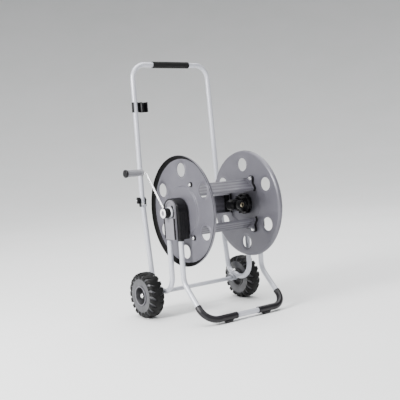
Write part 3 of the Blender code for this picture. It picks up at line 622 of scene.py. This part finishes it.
def make_axle_fittings(end, side):
    slope = on_slope()
    bm = bmesh.new()
    outline = [(-0.014, -0.023), (0.014, -0.023), (0.014, -0.008), (0.011, -0.0035), (-0.011, -0.0035),
               (-0.014, -0.008)]
    prism(bm, outline, -0.0125, -0.01, slope)
    prism(bm, outline, 0.01, 0.0125, slope)
    block(bm, (-0.0125, -0.013, -0.023), (0.0125, 0.013, -0.0102), slope)
    sleeve(bm, 0.1662, 0.1938, 0.01, 0.0043, WHEEL_AXIS, segments=48)
    place_piece(f"axle_saddle_{end}", bm, "silver", "frame", [f"axle_bracket_{end}"], side, 0.0006)
    bm = bmesh.new()
    up = slope @ at(turn=-90, axis="Y")
    disc(bm, 0.0098, 0.0108, 0.0085, up)
    turned(bm, [(0.0106, 0), (0.0106, 0.0068), (0.0148, 0.0068), (0.0155, 0.0055), (0.0155, 0)], up, 6,
           radius=0.0003)
    turned(bm, [(0.015, 0), (0.015, 0.003), (0.0172, 0.003), (0.018, 0.0022), (0.018, 0)], up, 24)
    place_piece(f"saddle_nut_{end}", bm, "steel", "frame", [f"bracket_bolt_{end}"], side)
    cap = [(0.25, 0.0), (0.25, 0.0043), (0.2458, 0.0043), (0.2458, 0.0095), (0.2478, 0.0098), (0.25, 0.0088),
           (0.2516, 0.0064), (0.2524, 0.0032), (0.2526, 0.0)]
    bm = lathed(cap, WHEEL_AXIS, 48, radius=0.0008)
    place_piece(f"wheel_cap_{end}", bm, "steel", "frame", [f"axle_cap_{end}"], side)


# Wheels

LUGS = 19
TREAD_STEPS = 480


def smooth(value, low, high):
    t = min(1.0, max(0.0, (value - low) / (high - low)))
    return t * t * (3 - 2 * t)


def tyre_sections():
    """The tyre's section from the inner bead to the outer one: hollows, lug tops and position across."""
    half = (WHEEL_OUT - WHEEL_IN) / 2
    middle = (WHEEL_OUT + WHEEL_IN) / 2
    low = [(-0.026, BEAD_R), (-0.027, 0.042), (-0.0275, 0.052), (-0.027, 0.061), (-0.025, 0.068),
           (-0.0215, 0.0735), (-0.016, 0.0768), (-0.008, 0.0782), (0.0, 0.0785)]
    high = [(-0.026, BEAD_R), (-0.027, 0.042), (-0.0275, 0.052), (-0.0285, 0.0625), (-0.0292, 0.071),
            (-0.0265, 0.0785), (-0.02, 0.0828), (-0.01, 0.0846), (0.0, 0.0849)]
    low += [(-x, r) for x, r in low[-2::-1]]
    high += [(-x, r) for x, r in high[-2::-1]]
    sections, steps = [], 4
    for (l0, l1), (h0, h1) in zip(zip(low, low[1:]), zip(high, high[1:])):
        for k in range(steps):
            t = k / steps
            sections.append((Vector(l0).lerp(Vector(l1), t), Vector(h0).lerp(Vector(h1), t)))
    sections.append((Vector(low[-1]), Vector(high[-1])))
    return [((middle + b.x, b.y), (middle + t.x, t.y), b.x / half) for b, t in sections]


def lug_height(angle, across, r):
    """1 on a lug and 0 in a groove. Grooves are slanted, widest at the shoulder and gone at the middle."""
    reach = abs(across)
    row = 0.0 if across < 0 else 0.5
    phase = (angle * LUGS / (2 * pi) + row + 0.7 * reach) % 1.0
    shoulder = smooth(reach, 0.12, 0.8) * smooth(r, 0.056, 0.074)
    half_groove = 0.01 + 0.15 * shoulder
    notch = 1 - smooth(abs(phase - 0.5), half_groove, half_groove + 0.09)
    return (1 - notch * smooth(reach, 0.1, 0.45)) * smooth(r, 0.056, 0.066)


def make_wheel(end, side):
    sections = tyre_sections()
    bm = bmesh.new()
    loops = []
    for base, top, across in sections:
        loop = []
        for k in range(TREAD_STEPS):
            angle = 2 * pi * k / TREAD_STEPS
            lift = lug_height(angle, across, base[1])
            x = base[0] + (top[0] - base[0]) * lift
            r = base[1] + (top[1] - base[1]) * lift
            loop.append(bm.verts.new((x, WHEEL_Y + r * cos(angle), WHEEL_R + r * sin(angle))))
        loops.append(loop)
    for i, (first, second) in enumerate(zip(loops, loops[1:])):
        before = len(bm.faces)
        bridge(bm, first, second)
        bm.faces.ensure_lookup_table()
        base, _, across = sections[i]
        for k, face in enumerate(bm.faces[before:]):
            grooved = lug_height(2 * pi * (k + 0.5) / TREAD_STEPS, across, base[1]) < 0.45
            # Low sidewall faces and groove walls at the shoulders take the lighter second material: a painted
            # highlight on the black tyre.
            face.material_index = int(base[1] < 0.062 or grooved and abs(across) > 0.25)
    rings = [loops[-1]]
    bead_bore = BEAD_R - 0.002
    for bead in (sections[-1], sections[0]):
        circle = arc(WHEEL_Y, WHEEL_R, bead_bore, 0, 2 * pi, TREAD_STEPS)[:-1]
        rings.append([bm.verts.new((bead[0][0], y, z)) for y, z in circle])
    rings.append(loops[0])
    skin(bm, rings)
    place_piece(f"lugged_tyre_{end}", bm, "tread", f"wheel_{end}", [f"tyre_{end}"], side, extra=["sidewall_highlight"])
    make_wheel_centre(end, side)


def make_wheel_centre(end, side):
    """A deep dish with a rolled lip, ribs and a hub."""
    x0, x1 = WHEEL_IN + 0.001, WHEEL_OUT - 0.001
    r = BEAD_R - 0.0025
    dish = [(x0, 0.0045), (x0, 0.0125), (x0 + 0.012, 0.0145), (x0 + 0.014, r - 0.004),
            (x0 + 0.001, r - 0.003), (x0 + 0.001, r + 0.002), (x1 - 0.003, r + 0.002), (x1, r + 0.001),
            (x1, r - 0.002), (x1 - 0.008, r - 0.0045), (x1 - 0.028, r - 0.0085), (x1 - 0.03, 0.015),
            (x1 - 0.014, 0.0125), (0.245, 0.0118), (0.245, 0.0045)]
    bm = lathed(dish, WHEEL_AXIS, 96, closed=True, radius=0.0016)
    for i in range(5):
        rib = WHEEL_AXIS @ Matrix.Rotation(2 * pi * i / 5 + 0.35, 4, "X")
        outline = [(x1 - 0.03, 0.0105), (x1 - 0.016, 0.0105), (x1 - 0.021, r - 0.006), (x1 - 0.03, r - 0.006)]
        for shift in (-0.0012, 0.0012):
            bm.faces.new([bm.verts.new(rib @ Vector((x, shift, z))) for x, z in outline])
        bm.verts.ensure_lookup_table()
        new = bm.verts[-8:]
        bridge(bm, new[:4], new[4:])
    place_piece(f"wheel_centre_{end}", bm, "wheel", f"wheel_{end}", [f"rim_{end}"], side)
    bm = bmesh.new()
    sleeve(bm, x1 - 0.003, x1 + 0.0005, r + 0.0018, r - 0.0012, WHEEL_AXIS, segments=96)
    place_piece(f"wheel_ring_{end}", bm, "cover", f"wheel_{end}", side=side, slot="black_plastic")


# Reel housings

def make_housing(end, side):
    bm = bmesh.new()
    prism(bm, arch(BODY_Y, BODY_HALF, HOUSING_BASE, AXLE_Z), BODY_IN, BODY_OUT)
    place_piece(f"reel_housing_{end}", bm, "black", "frame", [f"hub_body_{end}"], side, 0.0022)
    bm = bmesh.new()
    for y in (LEG_A_Y, LEG_B_Y):
        leg = at(SIDE_X, y, HOUSING_BASE, -90, "Y")
        sleeve(bm, -0.006, 0.004, TUBE_R + 0.0026, TUBE_R + 0.0004, leg, segments=48)
    front = BODY_Y - BODY_HALF
    for i in range(5):
        x = BODY_IN + 0.006 + i * 0.0075
        block(bm, (x, front - 0.0008, HOUSING_BASE + 0.006), (x + 0.0022, front + 0.002, AXLE_Z))
    rim_outline = arch(BODY_Y, BODY_HALF - 0.003, HOUSING_BASE + 0.003, AXLE_Z)
    inner_outline = arch(BODY_Y, BODY_HALF - 0.0055, HOUSING_BASE + 0.0055, AXLE_Z)
    frame_ring(bm, rim_outline, inner_outline, BODY_OUT - 0.001, BODY_OUT + 0.001)
    place_piece(f"housing_ribs_{end}", bm, "black", "frame", side=side, bevel=0.0005)
    make_cover(end, side)


def frame_ring(bm, outer, inner, x0, x1):
    """A raised border between two outlines with the same number of points."""
    corners = ((x0, outer), (x1, outer), (x1, inner), (x0, inner))
    loops = [[bm.verts.new((x, y, z)) for y, z in outline] for x, outline in corners]
    skin(bm, loops, closed=True)


def make_cover(end, side):
    """The grey cap: an arched plate with a border, a thick lower panel with a ridged flank, and a boss."""
    x, y, base = PANEL_OUT, COVER_Y, HOUSING_BASE + 0.0005
    bm = bmesh.new()
    prism(bm, arch(y, COVER_HALF, base, COVER_ARCH_Z), BODY_OUT + 0.0004, PLATE_OUT)
    border = arch(y, COVER_HALF - 0.0004, base + 0.0004, COVER_ARCH_Z)
    inner = arch(y, COVER_HALF - 0.006, base + 0.006, COVER_ARCH_Z)
    frame_ring(bm, border, inner, PLATE_OUT - 0.001, PLATE_OUT + 0.0026)
    block(bm, (PLATE_OUT - 0.001, y - PANEL_HALF, base), (x, y + PANEL_HALF - 0.004, PANEL_TOP))
    place_piece(f"housing_cap_{end}", bm, "cover", "frame", [f"hub_cover_{end}"], side, 0.0012)
    bm = bmesh.new()
    # A black sheet down the panel's front face, with ridges on it: the ridges are drawn, the black is painted
    # shade for the gap between panel and plate.
    front = y - PANEL_HALF
    block(bm, (PLATE_OUT + 0.0028, front - 0.0006, base + 0.001),
          (x - 0.0012, front + 0.001, PANEL_TOP - 0.001))
    for i in range(14):
        z = base + 0.003 + i * 0.0052
        block(bm, (PLATE_OUT + 0.0022, front - 0.0014, z), (x - 0.0008, front, z + 0.0026))
    # A black arc round the boss: painted shade for the groove there, raised on the plate rather than cut into
    # it.
    start, stop = radians(115), radians(215)
    slot = arc(y, AXLE_Z, 0.0285, start, stop, 20) + arc(y, AXLE_Z, 0.0218, stop, start, 20)
    prism(bm, slot, PLATE_OUT - 0.0005, PLATE_OUT + 0.003)
    place_piece(f"cap_ridges_and_painted_shade_{end}", bm, "black", "frame", side=side, bevel=0.0004)
    boss = [(PLATE_OUT - 0.001, 0.0142), (PLATE_OUT - 0.001, 0.0215), (COVER_OUT + 0.0004, 0.0208),
            (COVER_OUT + 0.0014, 0.0196), (COVER_OUT + 0.0014, 0.0178), (COVER_OUT, 0.017),
            (COVER_OUT, 0.0142)]
    bm = lathed(boss, REEL, 96, closed=True, radius=0.0006)
    place_piece(f"cap_boss_{end}", bm, "silver", "frame", side=side, slot="grey_plastic")
    for place, z in (("lower", HOUSING_BASE + 0.01), ("upper", AXLE_Z - 0.032)):
        head = [(x - 0.006, 0), (x - 0.006, 0.0034), (x + 0.0004, 0.0034), (x + 0.0014, 0.0024),
                (x + 0.0016, 0)]
        bm = lathed(head, at(0, y, z), 32, radius=0.0006)
        for turn in (20, 110):
            cross = at(0, y, z, turn)
            block(bm, (x + 0.0009, -0.0022, -0.0003), (x + 0.0019, 0.0022, 0.0003), cross)
        place_piece(f"cap_screw_{place}_{end}", bm, "cover", "frame", [f"cover_screw_{place}_{end}"], side,
                    slot="black_plastic")


# Handle joint

def make_joint(end, side):
    lean = JOINT - U_LOW_REAR
    tilt = at(*JOINT, -degrees(atan2(lean.y, lean.z)))
    bm = bmesh.new()
    ear = [(-0.0072, -0.025), (0.0072, -0.025)] + arc(0, 0.003, 0.008, 0, pi, 20)
    for x in (0.0098, -0.0123):
        prism(bm, ear, x, x + 0.0025, tilt)
    place_piece(f"fold_fork_{end}", bm, "black", "frame", [f"joint_fork_{end}"], side, 0.0008)
    bm = bmesh.new()
    block(bm, (-0.0097, -0.0092, -0.0255), (0.0097, 0.0092, -0.0168), tilt)
    disc(bm, -0.0262, -0.0166, 0.0095, tilt @ at(turn=-90, axis="Y"), segments=48)
    place_piece(f"fold_web_{end}", bm, "silver", "frame", side=side, bevel=0.0006, slot="black_plastic")
    axis = at(*JOINT)
    bolt = [(-0.0182, 0.0), (-0.018, 0.003), (-0.0168, 0.005), (-0.0148, 0.0056), (-0.0127, 0.0056),
            (-0.0127, 0.0029), (0.0258, 0.0029), (0.027, 0.002), (0.027, 0.0)]
    bm = lathed(bolt, axis, 40)
    place_piece(f"fold_bolt_{end}", bm, "steel", "frame", [f"pivot_bolt_{end}"], side, slot="black_plastic")
    hub = [(0.0127, 0.0032), (0.0127, 0.0076), (0.015, 0.008), (0.0215, 0.0068), (0.0242, 0.006),
           (0.0245, 0.005), (0.0232, 0.0045), (0.0232, 0.0032)]
    bm = lathed(hub, axis, 48, closed=True, radius=0.0008)
    for turn in (0, 180):
        wing = axis @ at(turn=turn)
        outline = [(-0.0058, 0.003), (0.0058, 0.003), (0.0056, 0.0095), (0.004, 0.0122), (-0.004, 0.0122),
                   (-0.0056, 0.0095)]
        prism(bm, outline, 0.014, 0.0225, wing)
    place_piece(f"hand_nut_{end}", bm, "black", f"knob_{end}", [f"wing_knob_{end}"], side, 0.001)


# Drum

def flange_profile():
    """(x, r) of the pressed disc, from the shaft hole on the inner face round the rim and back."""
    x, r, step = DRUM_HALF, FLANGE_R, PLATEAU_R
    rise, rim, back = x + PLATEAU_RISE, x + LIP_DEPTH, x + SHEET
    top = rise + SHEET
    inner = [(rise, 0.0105), (rise, 0.052), (rise - 0.0006, 0.06), (rise - 0.0006, 0.076),
             (rise - 0.0002, step - 0.0025), (x + 0.001, step), (x, step + 0.002), (x, r - 0.011),
             (x + 0.001, r - 0.007), (x + 0.0045, r - 0.0022), (rim - 0.003, r), (rim, r - 0.0002)]
    outer = [(rim, r - 0.0035), (rim - 0.003, r - 0.004), (x + 0.0068, r - 0.006),
             (back + 0.0015, r - 0.0105), (back, r - 0.015), (back, step + 0.0015),
             (back + 0.001, step - 0.0002), (top - 0.0002, step - 0.0024), (top - 0.0006, 0.076),
             (top - 0.0006, 0.06), (top, 0.052), (top, 0.0105)]
    return inner + outer


def hole_lip():
    """(x, r) of the drawn collar round each large hole."""
    x, r, reach = DRUM_HALF, HOLE_R, HOLE_R + HOLE_COLLAR
    face = x + SHEET
    outer = [(face, reach), (face + 0.0006, reach - 0.002), (face + 0.0024, r + 0.0026),
             (face + 0.0026, r + 0.0008), (face + 0.0014, r)]
    inner = [(x + 0.001, r + 0.0003), (x + 0.0018, r + 0.0018), (x + 0.0006, reach - 0.002), (x, reach)]
    return outer + inner


def cut_flange(bm):
    """The disc with its large holes cut out by a Boolean."""
    cutter_bm = bmesh.new()
    for angle in HOLE_ANGLES:
        spot = reel_spot(HOLE_CIRCLE, angle)
        disc(cutter_bm, 0.1, 0.2, HOLE_R + HOLE_COLLAR, spot, segments=64, radius=0.0)
    objects = []
    for name, source in (("flange_blank", bm), ("hole_cutter", cutter_bm)):
        bmesh.ops.remove_doubles(source, verts=source.verts, dist=1e-6)
        objects.append(as_object(name, source))
    modifier = objects[0].modifiers.new("holes", "BOOLEAN")
    modifier.operation = "DIFFERENCE"
    modifier.object = objects[1]
    bpy.context.view_layer.update()
    result = bmesh.new()
    result.from_object(objects[0], bpy.context.evaluated_depsgraph_get())
    for obj in objects:
        bpy.data.objects.remove(obj, do_unlink=True)
    return result


def make_flange(end, side):
    bm = cut_flange(lathed(flange_profile(), at(0, 0, AXLE_Z, 0.7), 192, closed=True, radius=0.0012))
    for angle in HOLE_ANGLES:
        turned(bm, hole_lip(), reel_spot(HOLE_CIRCLE, angle), 64, closed=True, radius=0.0006)
    place_piece(f"pressed_flange_{end}", bm, "sheet", "drum", [f"flange_{end}"], side)
    # A matt black ring lining the inner wall of the rolled lip: painted shade for the lip's shadow, not a
    # part of its own.
    face, x, r = DRUM_HALF + SHEET, DRUM_HALF + LIP_DEPTH, FLANGE_R
    lip_shade_profile = [(x + 0.0004, r - 0.0012), (x - 0.0026, r - 0.0038), (x - 0.0072, r - 0.0058),
              (face + 0.0016, r - 0.0092), (face + 0.0003, r - 0.0135), (face + 0.001, r - 0.0135),
              (face + 0.0028, r - 0.0105), (x - 0.0062, r - 0.0074), (x - 0.002, r - 0.0052),
              (x + 0.0006, r - 0.004)]
    bm = lathed(lip_shade_profile, REEL, 160, closed=True, radius=0.0006)
    place_piece(f"lip_shade_ring_{end}", bm, "trim", "drum", side=side)


def bar_outline(steps=14):
    """(t, n) of the ribbed channel: t runs round the drum and n outwards."""
    half, depth, thick, groove, ribs = BAR_WIDTH / 2, 0.009, 0.0014, 0.0016, 3
    edge = 0.005
    flat = BAR_WIDTH - 2 * edge
    top = [(-half, -depth), (-half, -0.003), (-half + 0.0012, -0.0006), (-half + 0.003, 0.0)]
    for i in range(ribs * steps + 1):
        t = i / (ribs * steps)
        wave = 0.5 - 0.5 * cos(2 * pi * ribs * t)
        top.append((-half + edge + flat * t, -groove * smooth(wave, 0.25, 0.9)))
    top += [(half - 0.003, 0.0), (half - 0.0012, -0.0006), (half, -0.003), (half, -depth)]
    lower = [(t * (1 - thick / half), n - thick * (n > -0.004)) for t, n in top[::-1]]
    return top + lower


def bell_outline(grow=0.0):
    """(t, n) of a bar's end: the bar's arch, a little larger, with a round ear for the bolt."""
    half = BAR_WIDTH / 2 + 0.003 + grow
    ear = 0.012 + grow
    right = [(half, BAR_R - 0.0125), (half, BAR_R - 0.002), (half - 0.004, BAR_R + 0.0035 + grow),
             (half - 0.011, BAR_R + 0.007 + grow), (ear + 0.004, BAR_R + 0.012 + grow)]
    top = arc(0, BAR_BOLT_CIRCLE, ear, radians(15), radians(165), 14)
    return rounded(right, 0.006) + top + rounded([(-t, n) for t, n in right[::-1]], 0.006)


def make_bars():
    plate = DRUM_HALF - 0.0003 - SADDLE
    for place, angle in BAR_ANGLES.items():
        turn = at(0, 0, AXLE_Z, 90 - angle)
        bm = bmesh.new()
        prism(bm, [(-t, n + BAR_R) for t, n in bar_outline()], -plate + SHEET, plate - SHEET, turn)
        for side in (LEFT, RIGHT):
            x0, x1 = sorted((side * plate, side * (plate - SHEET)))
            prism(bm, bell_outline(-0.0015), x0, x1, turn)
        place_piece(f"ribbed_bar_{place}", bm, "sheet", "drum", [f"drum_bar_{place}"], bevel=0.0003)
        for end, side in SIDES.items():
            make_bar_end(place, end, side, angle)


def make_bar_end(place, end, side, angle):
    """The black saddle between a bar and its flange, its plug inside the bar, and the bolt through both."""
    turn = at(0, 0, AXLE_Z, 90 - angle)
    spot = reel_spot(BAR_BOLT_CIRCLE, angle)
    x, r, plug_half = DRUM_HALF, BAR_R, BAR_WIDTH / 2 - 0.002
    outside, inside, tip = x + SHEET, x - SADDLE - SHEET, x + 0.0105
    bm = bmesh.new()
    prism(bm, bell_outline(), x - SADDLE - 0.0002, x - 0.0006, turn)
    block(bm, (x - 0.03, -plug_half, r - 0.011), (x - 0.002, plug_half, r - 0.0042), turn)
    for i in range(4):
        t = -plug_half + 0.009 + i * 0.0155
        block(bm, (x - 0.031, t, r - 0.0122), (x - 0.002, t + 0.0022, r - 0.01), turn)
    boss = [(outside, 0), (outside, 0.0098), (x + 0.0046, 0.0088), (x + 0.0056, 0.008), (x + 0.0056, 0)]
    turned(bm, boss, spot, 48, radius=0.0008)
    place_piece(f"bar_saddle_{place}_{end}", bm, "black", "drum", side=side, bevel=0.001)
    head = [(inside - 0.0002, 0.0), (inside - 0.0002, 0.0029), (outside + 0.001, 0.0029),
            (outside + 0.001, 0.0062), (tip - 0.0024, 0.0062), (tip - 0.0008, 0.0052), (tip - 0.0001, 0.003),
            (tip, 0.0)]
    bm = lathed(head, spot, 48, radius=0.0008)
    disc(bm, inside, inside - 0.0012, 0.0068, spot, segments=40)
    nut = [(inside - 0.001, 0), (inside - 0.001, 0.006), (inside - 0.0045, 0.006), (inside - 0.005, 0.005),
           (inside - 0.005, 0)]
    turned(bm, nut, spot, 6, radius=0.0003)
    disc(bm, inside - 0.0045, inside - 0.007, 0.0029, spot, segments=24)
    place_piece(f"carriage_bolt_{place}_{end}", bm, "steel", "drum", [f"bar_bolt_{place}_{end}"], side)


def make_drum_hubs():
    outer = DRUM_HALF + PLATEAU_RISE - 0.0003
    for end, side, depth, r in (("left", LEFT, 0.024, 0.045), ("right", RIGHT, 0.03, 0.04)):
        profile = [(outer, 0.0095), (outer, r), (outer - 0.003, r + 0.0005), (outer - 0.015, r),
                   (outer - 0.018, r - 0.003), (outer - 0.019, r - 0.01), (outer - depth + 0.002, r - 0.012),
                   (outer - depth, r - 0.015), (outer - depth, 0.0095)]
        bm = lathed(profile, REEL, 144, closed=True, radius=0.0014, flutes=(12, 0.0022, r - 0.004))
        for i in range(8):
            rib = at(0, 0, AXLE_Z, 45 * i + 10)
            block(bm, (outer - depth, -0.0014, r - 0.022), (outer - 0.017, 0.0014, r - 0.005), rib)
        place_piece(f"drum_boss_{end}", bm, "black", "drum", [f"drum_hub_{end}"], side, 0.0005)


# Crank

def make_crank():
    base = Vector((CRANK_X, 0, AXLE_Z))
    direction = CRANK_TIP.normalized()
    hub = [(COVER_OUT + 0.002, 0.0094), (COVER_OUT + 0.002, 0.0165), (COVER_OUT + 0.0045, 0.0172),
           (0.2262, 0.0172), (0.228, 0.016), (0.228, 0.0094)]
    bm = lathed(hub, REEL, 120, closed=True, radius=0.0008, flutes=(20, 0.0011, 0.0168))
    swept(bm, [base + direction * 0.0125, base + direction * 0.0215], 0.0062, segments=32)
    place_piece("crank_boss", bm, "black", "drum", ["crank_hub"], LEFT)
    bm = bmesh.new()
    tip = base + CRANK_TIP
    start = base + direction * 0.0125
    end = tip + Vector((ROD_TIP_X - CRANK_X, 0, 0))
    swept(bm, fillet_path([start, tip, end], [0.012]), ROD_R, segments=28)
    place_piece("crank_arm", bm, "steel", "drum", ["crank_rod"], LEFT)
    washer = [(0.2283, 0.0085), (0.2283, 0.0168), (0.2296, 0.017), (0.231, 0.0158), (0.2314, 0.013),
              (0.231, 0.0098), (0.2298, 0.0085)]
    bm = lathed(washer, REEL, 72, closed=True, radius=0.0006)
    place_piece("crank_washer", bm, "white", "drum", ["crank_cap"], LEFT)
    bm = lathed([(0.2262, 0), (0.2262, 0.0086), (0.23, 0.0084), (0.2306, 0.0074), (0.2298, 0.006),
                 (0.2294, 0)], REEL, 48)
    place_piece("crank_plug", bm, "cover", "drum", side=LEFT)
    grip = REEL @ at(*CRANK_TIP)
    sleeve_profile = [(0.231, ROD_R + 0.0003), (0.231, 0.0112), (0.2325, 0.013), (0.2365, 0.013),
                      (0.238, 0.0118), (0.26, 0.0122), (0.29, 0.0124), (0.2945, 0.0127), (0.2958, 0.0114),
                      (0.2958, ROD_R + 0.0003)]
    bm = lathed(sleeve_profile, grip, 96, closed=True, radius=0.001, flutes=(12, 0.0006, 0.0116))
    place_piece("crank_sleeve", bm, "grip", "grip", ["crank_grip"], LEFT)
    cap = [(0.3032, 0.0), (0.3032, ROD_R + 0.0003), (0.2961, ROD_R + 0.0003), (0.2961, 0.013),
           (0.2975, 0.0145), (0.301, 0.0148), (0.3042, 0.0142), (0.3056, 0.012), (0.306, 0.006),
           (0.3054, 0.0)]
    bm = lathed(cap, grip, 64, radius=0.0008)
    place_piece("crank_end_cap", bm, "black", "grip", ["crank_grip_cap"], LEFT)


# Water fittings

def make_water_fittings():
    forwards = at(OUTLET_X, 0, AXLE_Z, -90, "Z")
    plate = [(0.1075, 0), (0.1075, 0.027), (0.1085, 0.028), (0.1125, 0.028), (0.1135, 0.027), (0.1135, 0)]
    bm = lathed(plate, REEL, 72)
    bend = [Vector((x, y, AXLE_Z)) for x, y in ((0.11, 0), (OUTLET_X, 0), (OUTLET_X, OUTLET_MOUTH))]
    swept(bm, fillet_path(bend, [0.012]), ELBOW_R, ELBOW_BORE)
    body = [(0.061, 0), (0.061, 0.015), (0.0625, 0.0165), (0.07, 0.017), (0.0715, 0.0205), (0.101, 0.021),
            (0.103, 0.019), (0.103, 0)]
    turned(bm, body, REEL, 96, radius=0.001, flutes=(12, 0.0012, 0.018))
    for i in range(6):
        rib = at(0, 0, AXLE_Z, 60 * i)
        block(bm, (0.102, -0.0012, 0.0085), (0.108, 0.0012, 0.0255), rib)
    place_piece("outlet_bend", bm, "black", "drum", ["outlet_elbow"])
    mouth = -OUTLET_MOUTH
    nut = [(mouth - 0.017, 0.0114), (mouth - 0.017, 0.016), (mouth - 0.0155, 0.0175), (mouth - 0.004, 0.0175),
           (mouth - 0.003, 0.016), (mouth + 0.001, 0.0155), (mouth + 0.001, 0.0114)]
    bm = lathed(nut, forwards, 144, closed=True, radius=0.0006, flutes=(24, 0.0011, 0.0165))
    place_piece("outlet_nut", bm, "black", "drum", ["outlet_collar"])
    insert = [(mouth - 0.0157, 0.005), (mouth - 0.0157, 0.0071), (mouth, 0.0071), (mouth, 0.0092),
              (mouth + 0.0014, 0.0092), (mouth + 0.003, 0.007), (mouth + 0.003, 0.005)]
    bm = lathed(insert, forwards, 64, closed=True, radius=0.0003)
    place_piece("outlet_ferrule", bm, "brass", "drum", ["outlet_insert"])
    make_inlet()


def make_inlet():
    inner, outer = INLET_IN, INLET_OUT
    down = at((inner + outer) / 2 + 0.0015, 0, AXLE_Z, 90, "Y")
    cap = [(outer - 0.01, 0), (outer - 0.01, 0.0094), (inner, 0.0094), (inner, 0.0172),
           (inner + 0.0015, 0.018), (outer - 0.003, 0.018), (outer, 0.015), (outer, 0.009),
           (outer - 0.0006, 0.008), (outer - 0.0006, 0)]
    bm = lathed(cap, REEL, 120, radius=0.0008, flutes=(16, 0.0008, 0.0176))
    tail = [(0.01, 0), (0.01, 0.0088), (0.0165, 0.0086), (0.0165, 0.0125), (0.028, 0.0125), (0.0285, 0.0074)]
    for i in range(4):
        z = 0.032 + i * 0.006
        tail += [(z, 0.007), (z + 0.0004, 0.0084), (z + 0.005, 0.007)]
    tail += [(0.058, 0.0064), (0.058, 0.0045), (0.03, 0.0045), (0.03, 0)]
    turned(bm, tail, down, 72, radius=0.0005, flutes=(12, 0.0009, 0.0118))
    place_piece("inlet_tail", bm, "black", "inlet", ["inlet_elbow"])


def finish_kept_nodes():
    """The solids that stay in view get these materials too."""
    kept = {"bush_left": "black", "bush_right": "black", "crank_shaft": "steel", "water_spindle": "black"}
    for node, key in kept.items():
        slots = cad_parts[node].material_slots
        for slot in slots:
            slot.material = MATERIALS[key]


# Stage

def make_floor():
    """A pale round floor that curves up far from the cart."""
    radii = [0.5 * i for i in range(2, 31)]
    profile = [(0.0, 0.0)] + [(0.9 * max(0.0, (r - 4) / 5) ** 2.5, r) for r in radii]
    bm = lathed(profile, at(turn=-90, axis="Y"), 96, radius=0.0)
    floor = as_object("studio_floor", bm)
    floor.data.shade_smooth()
    n = Nodes("floor_paint")
    clouds = n.patchy(1.5, 3)
    n.bump([(n.noise(350, 3), 0.05, 0.0005)])
    color = n.blend(clouds, tone(0.88, 0.89, 0.88), tone(0.91, 0.91, 0.91))
    floor.data.materials.append(n.finish(color, 0.6))


def add_light(name, place, target, size, power):
    light = bpy.data.lights.new(name, "AREA")
    light.shape = "DISK"
    light.size = size
    light.energy = power
    obj = linked(name, light)
    obj.location = place
    obj.rotation_euler = (Vector(target) - Vector(place)).to_track_quat("-Z", "Y").to_euler()


def make_lights():
    middle = (0, 0, 0.45)
    add_light("key", (-3.0, -0.3, 1.8), middle, 1.0, 210)
    add_light("fill", (0.6, -3.8, 1.4), middle, 2.4, 10)
    add_light("rim", (2.6, 1.4, 2.4), middle, 1.2, 12)
    add_light("top", (0.0, 0.6, 7.0), (0, 0.6, 0), 10.0, 1150)
    world = bpy.data.worlds.new("studio")
    world.use_nodes = True
    background = world.node_tree.nodes["Background"].inputs
    background["Color"].default_value = tone(0.95, 0.97, 1.0)
    background["Strength"].default_value = 0.26
    bpy.context.scene.world = world


def make_camera():
    """A long lens from the cart's front left, a little above the drum and looking slightly down."""
    yaw, pitch, roll = radians(CAMERA_YAW), radians(CAMERA_PITCH), radians(CAMERA_ROLL)
    forward = Vector((sin(yaw) * cos(pitch), cos(yaw) * cos(pitch), sin(pitch)))
    right = Vector((cos(yaw), -sin(yaw), 0))
    up = right.cross(forward)
    across = right * cos(roll) + up * sin(roll)
    upward = up * cos(roll) - right * sin(roll)
    camera = bpy.data.cameras.new("camera")
    camera.sensor_width = 36
    camera.lens = CAMERA_LENS
    camera.shift_x, camera.shift_y = CAMERA_SHIFT
    obj = linked("camera", camera)
    turn = Matrix((across, upward, -forward)).transposed()
    obj.matrix_world = Matrix.Translation(CAMERA_PLACE + CART) @ turn.to_4x4()
    bpy.context.scene.camera = obj


make_tubes()
make_handle()
make_clip()
for make in (make_foot, make_axle_fittings, make_wheel, make_housing, make_joint, make_flange):
    for end, side in SIDES.items():
        make(end, side)
make_bars()
make_drum_hubs()
make_crank()
make_water_fittings()
finish_kept_nodes()
make_floor()
make_lights()
make_camera()
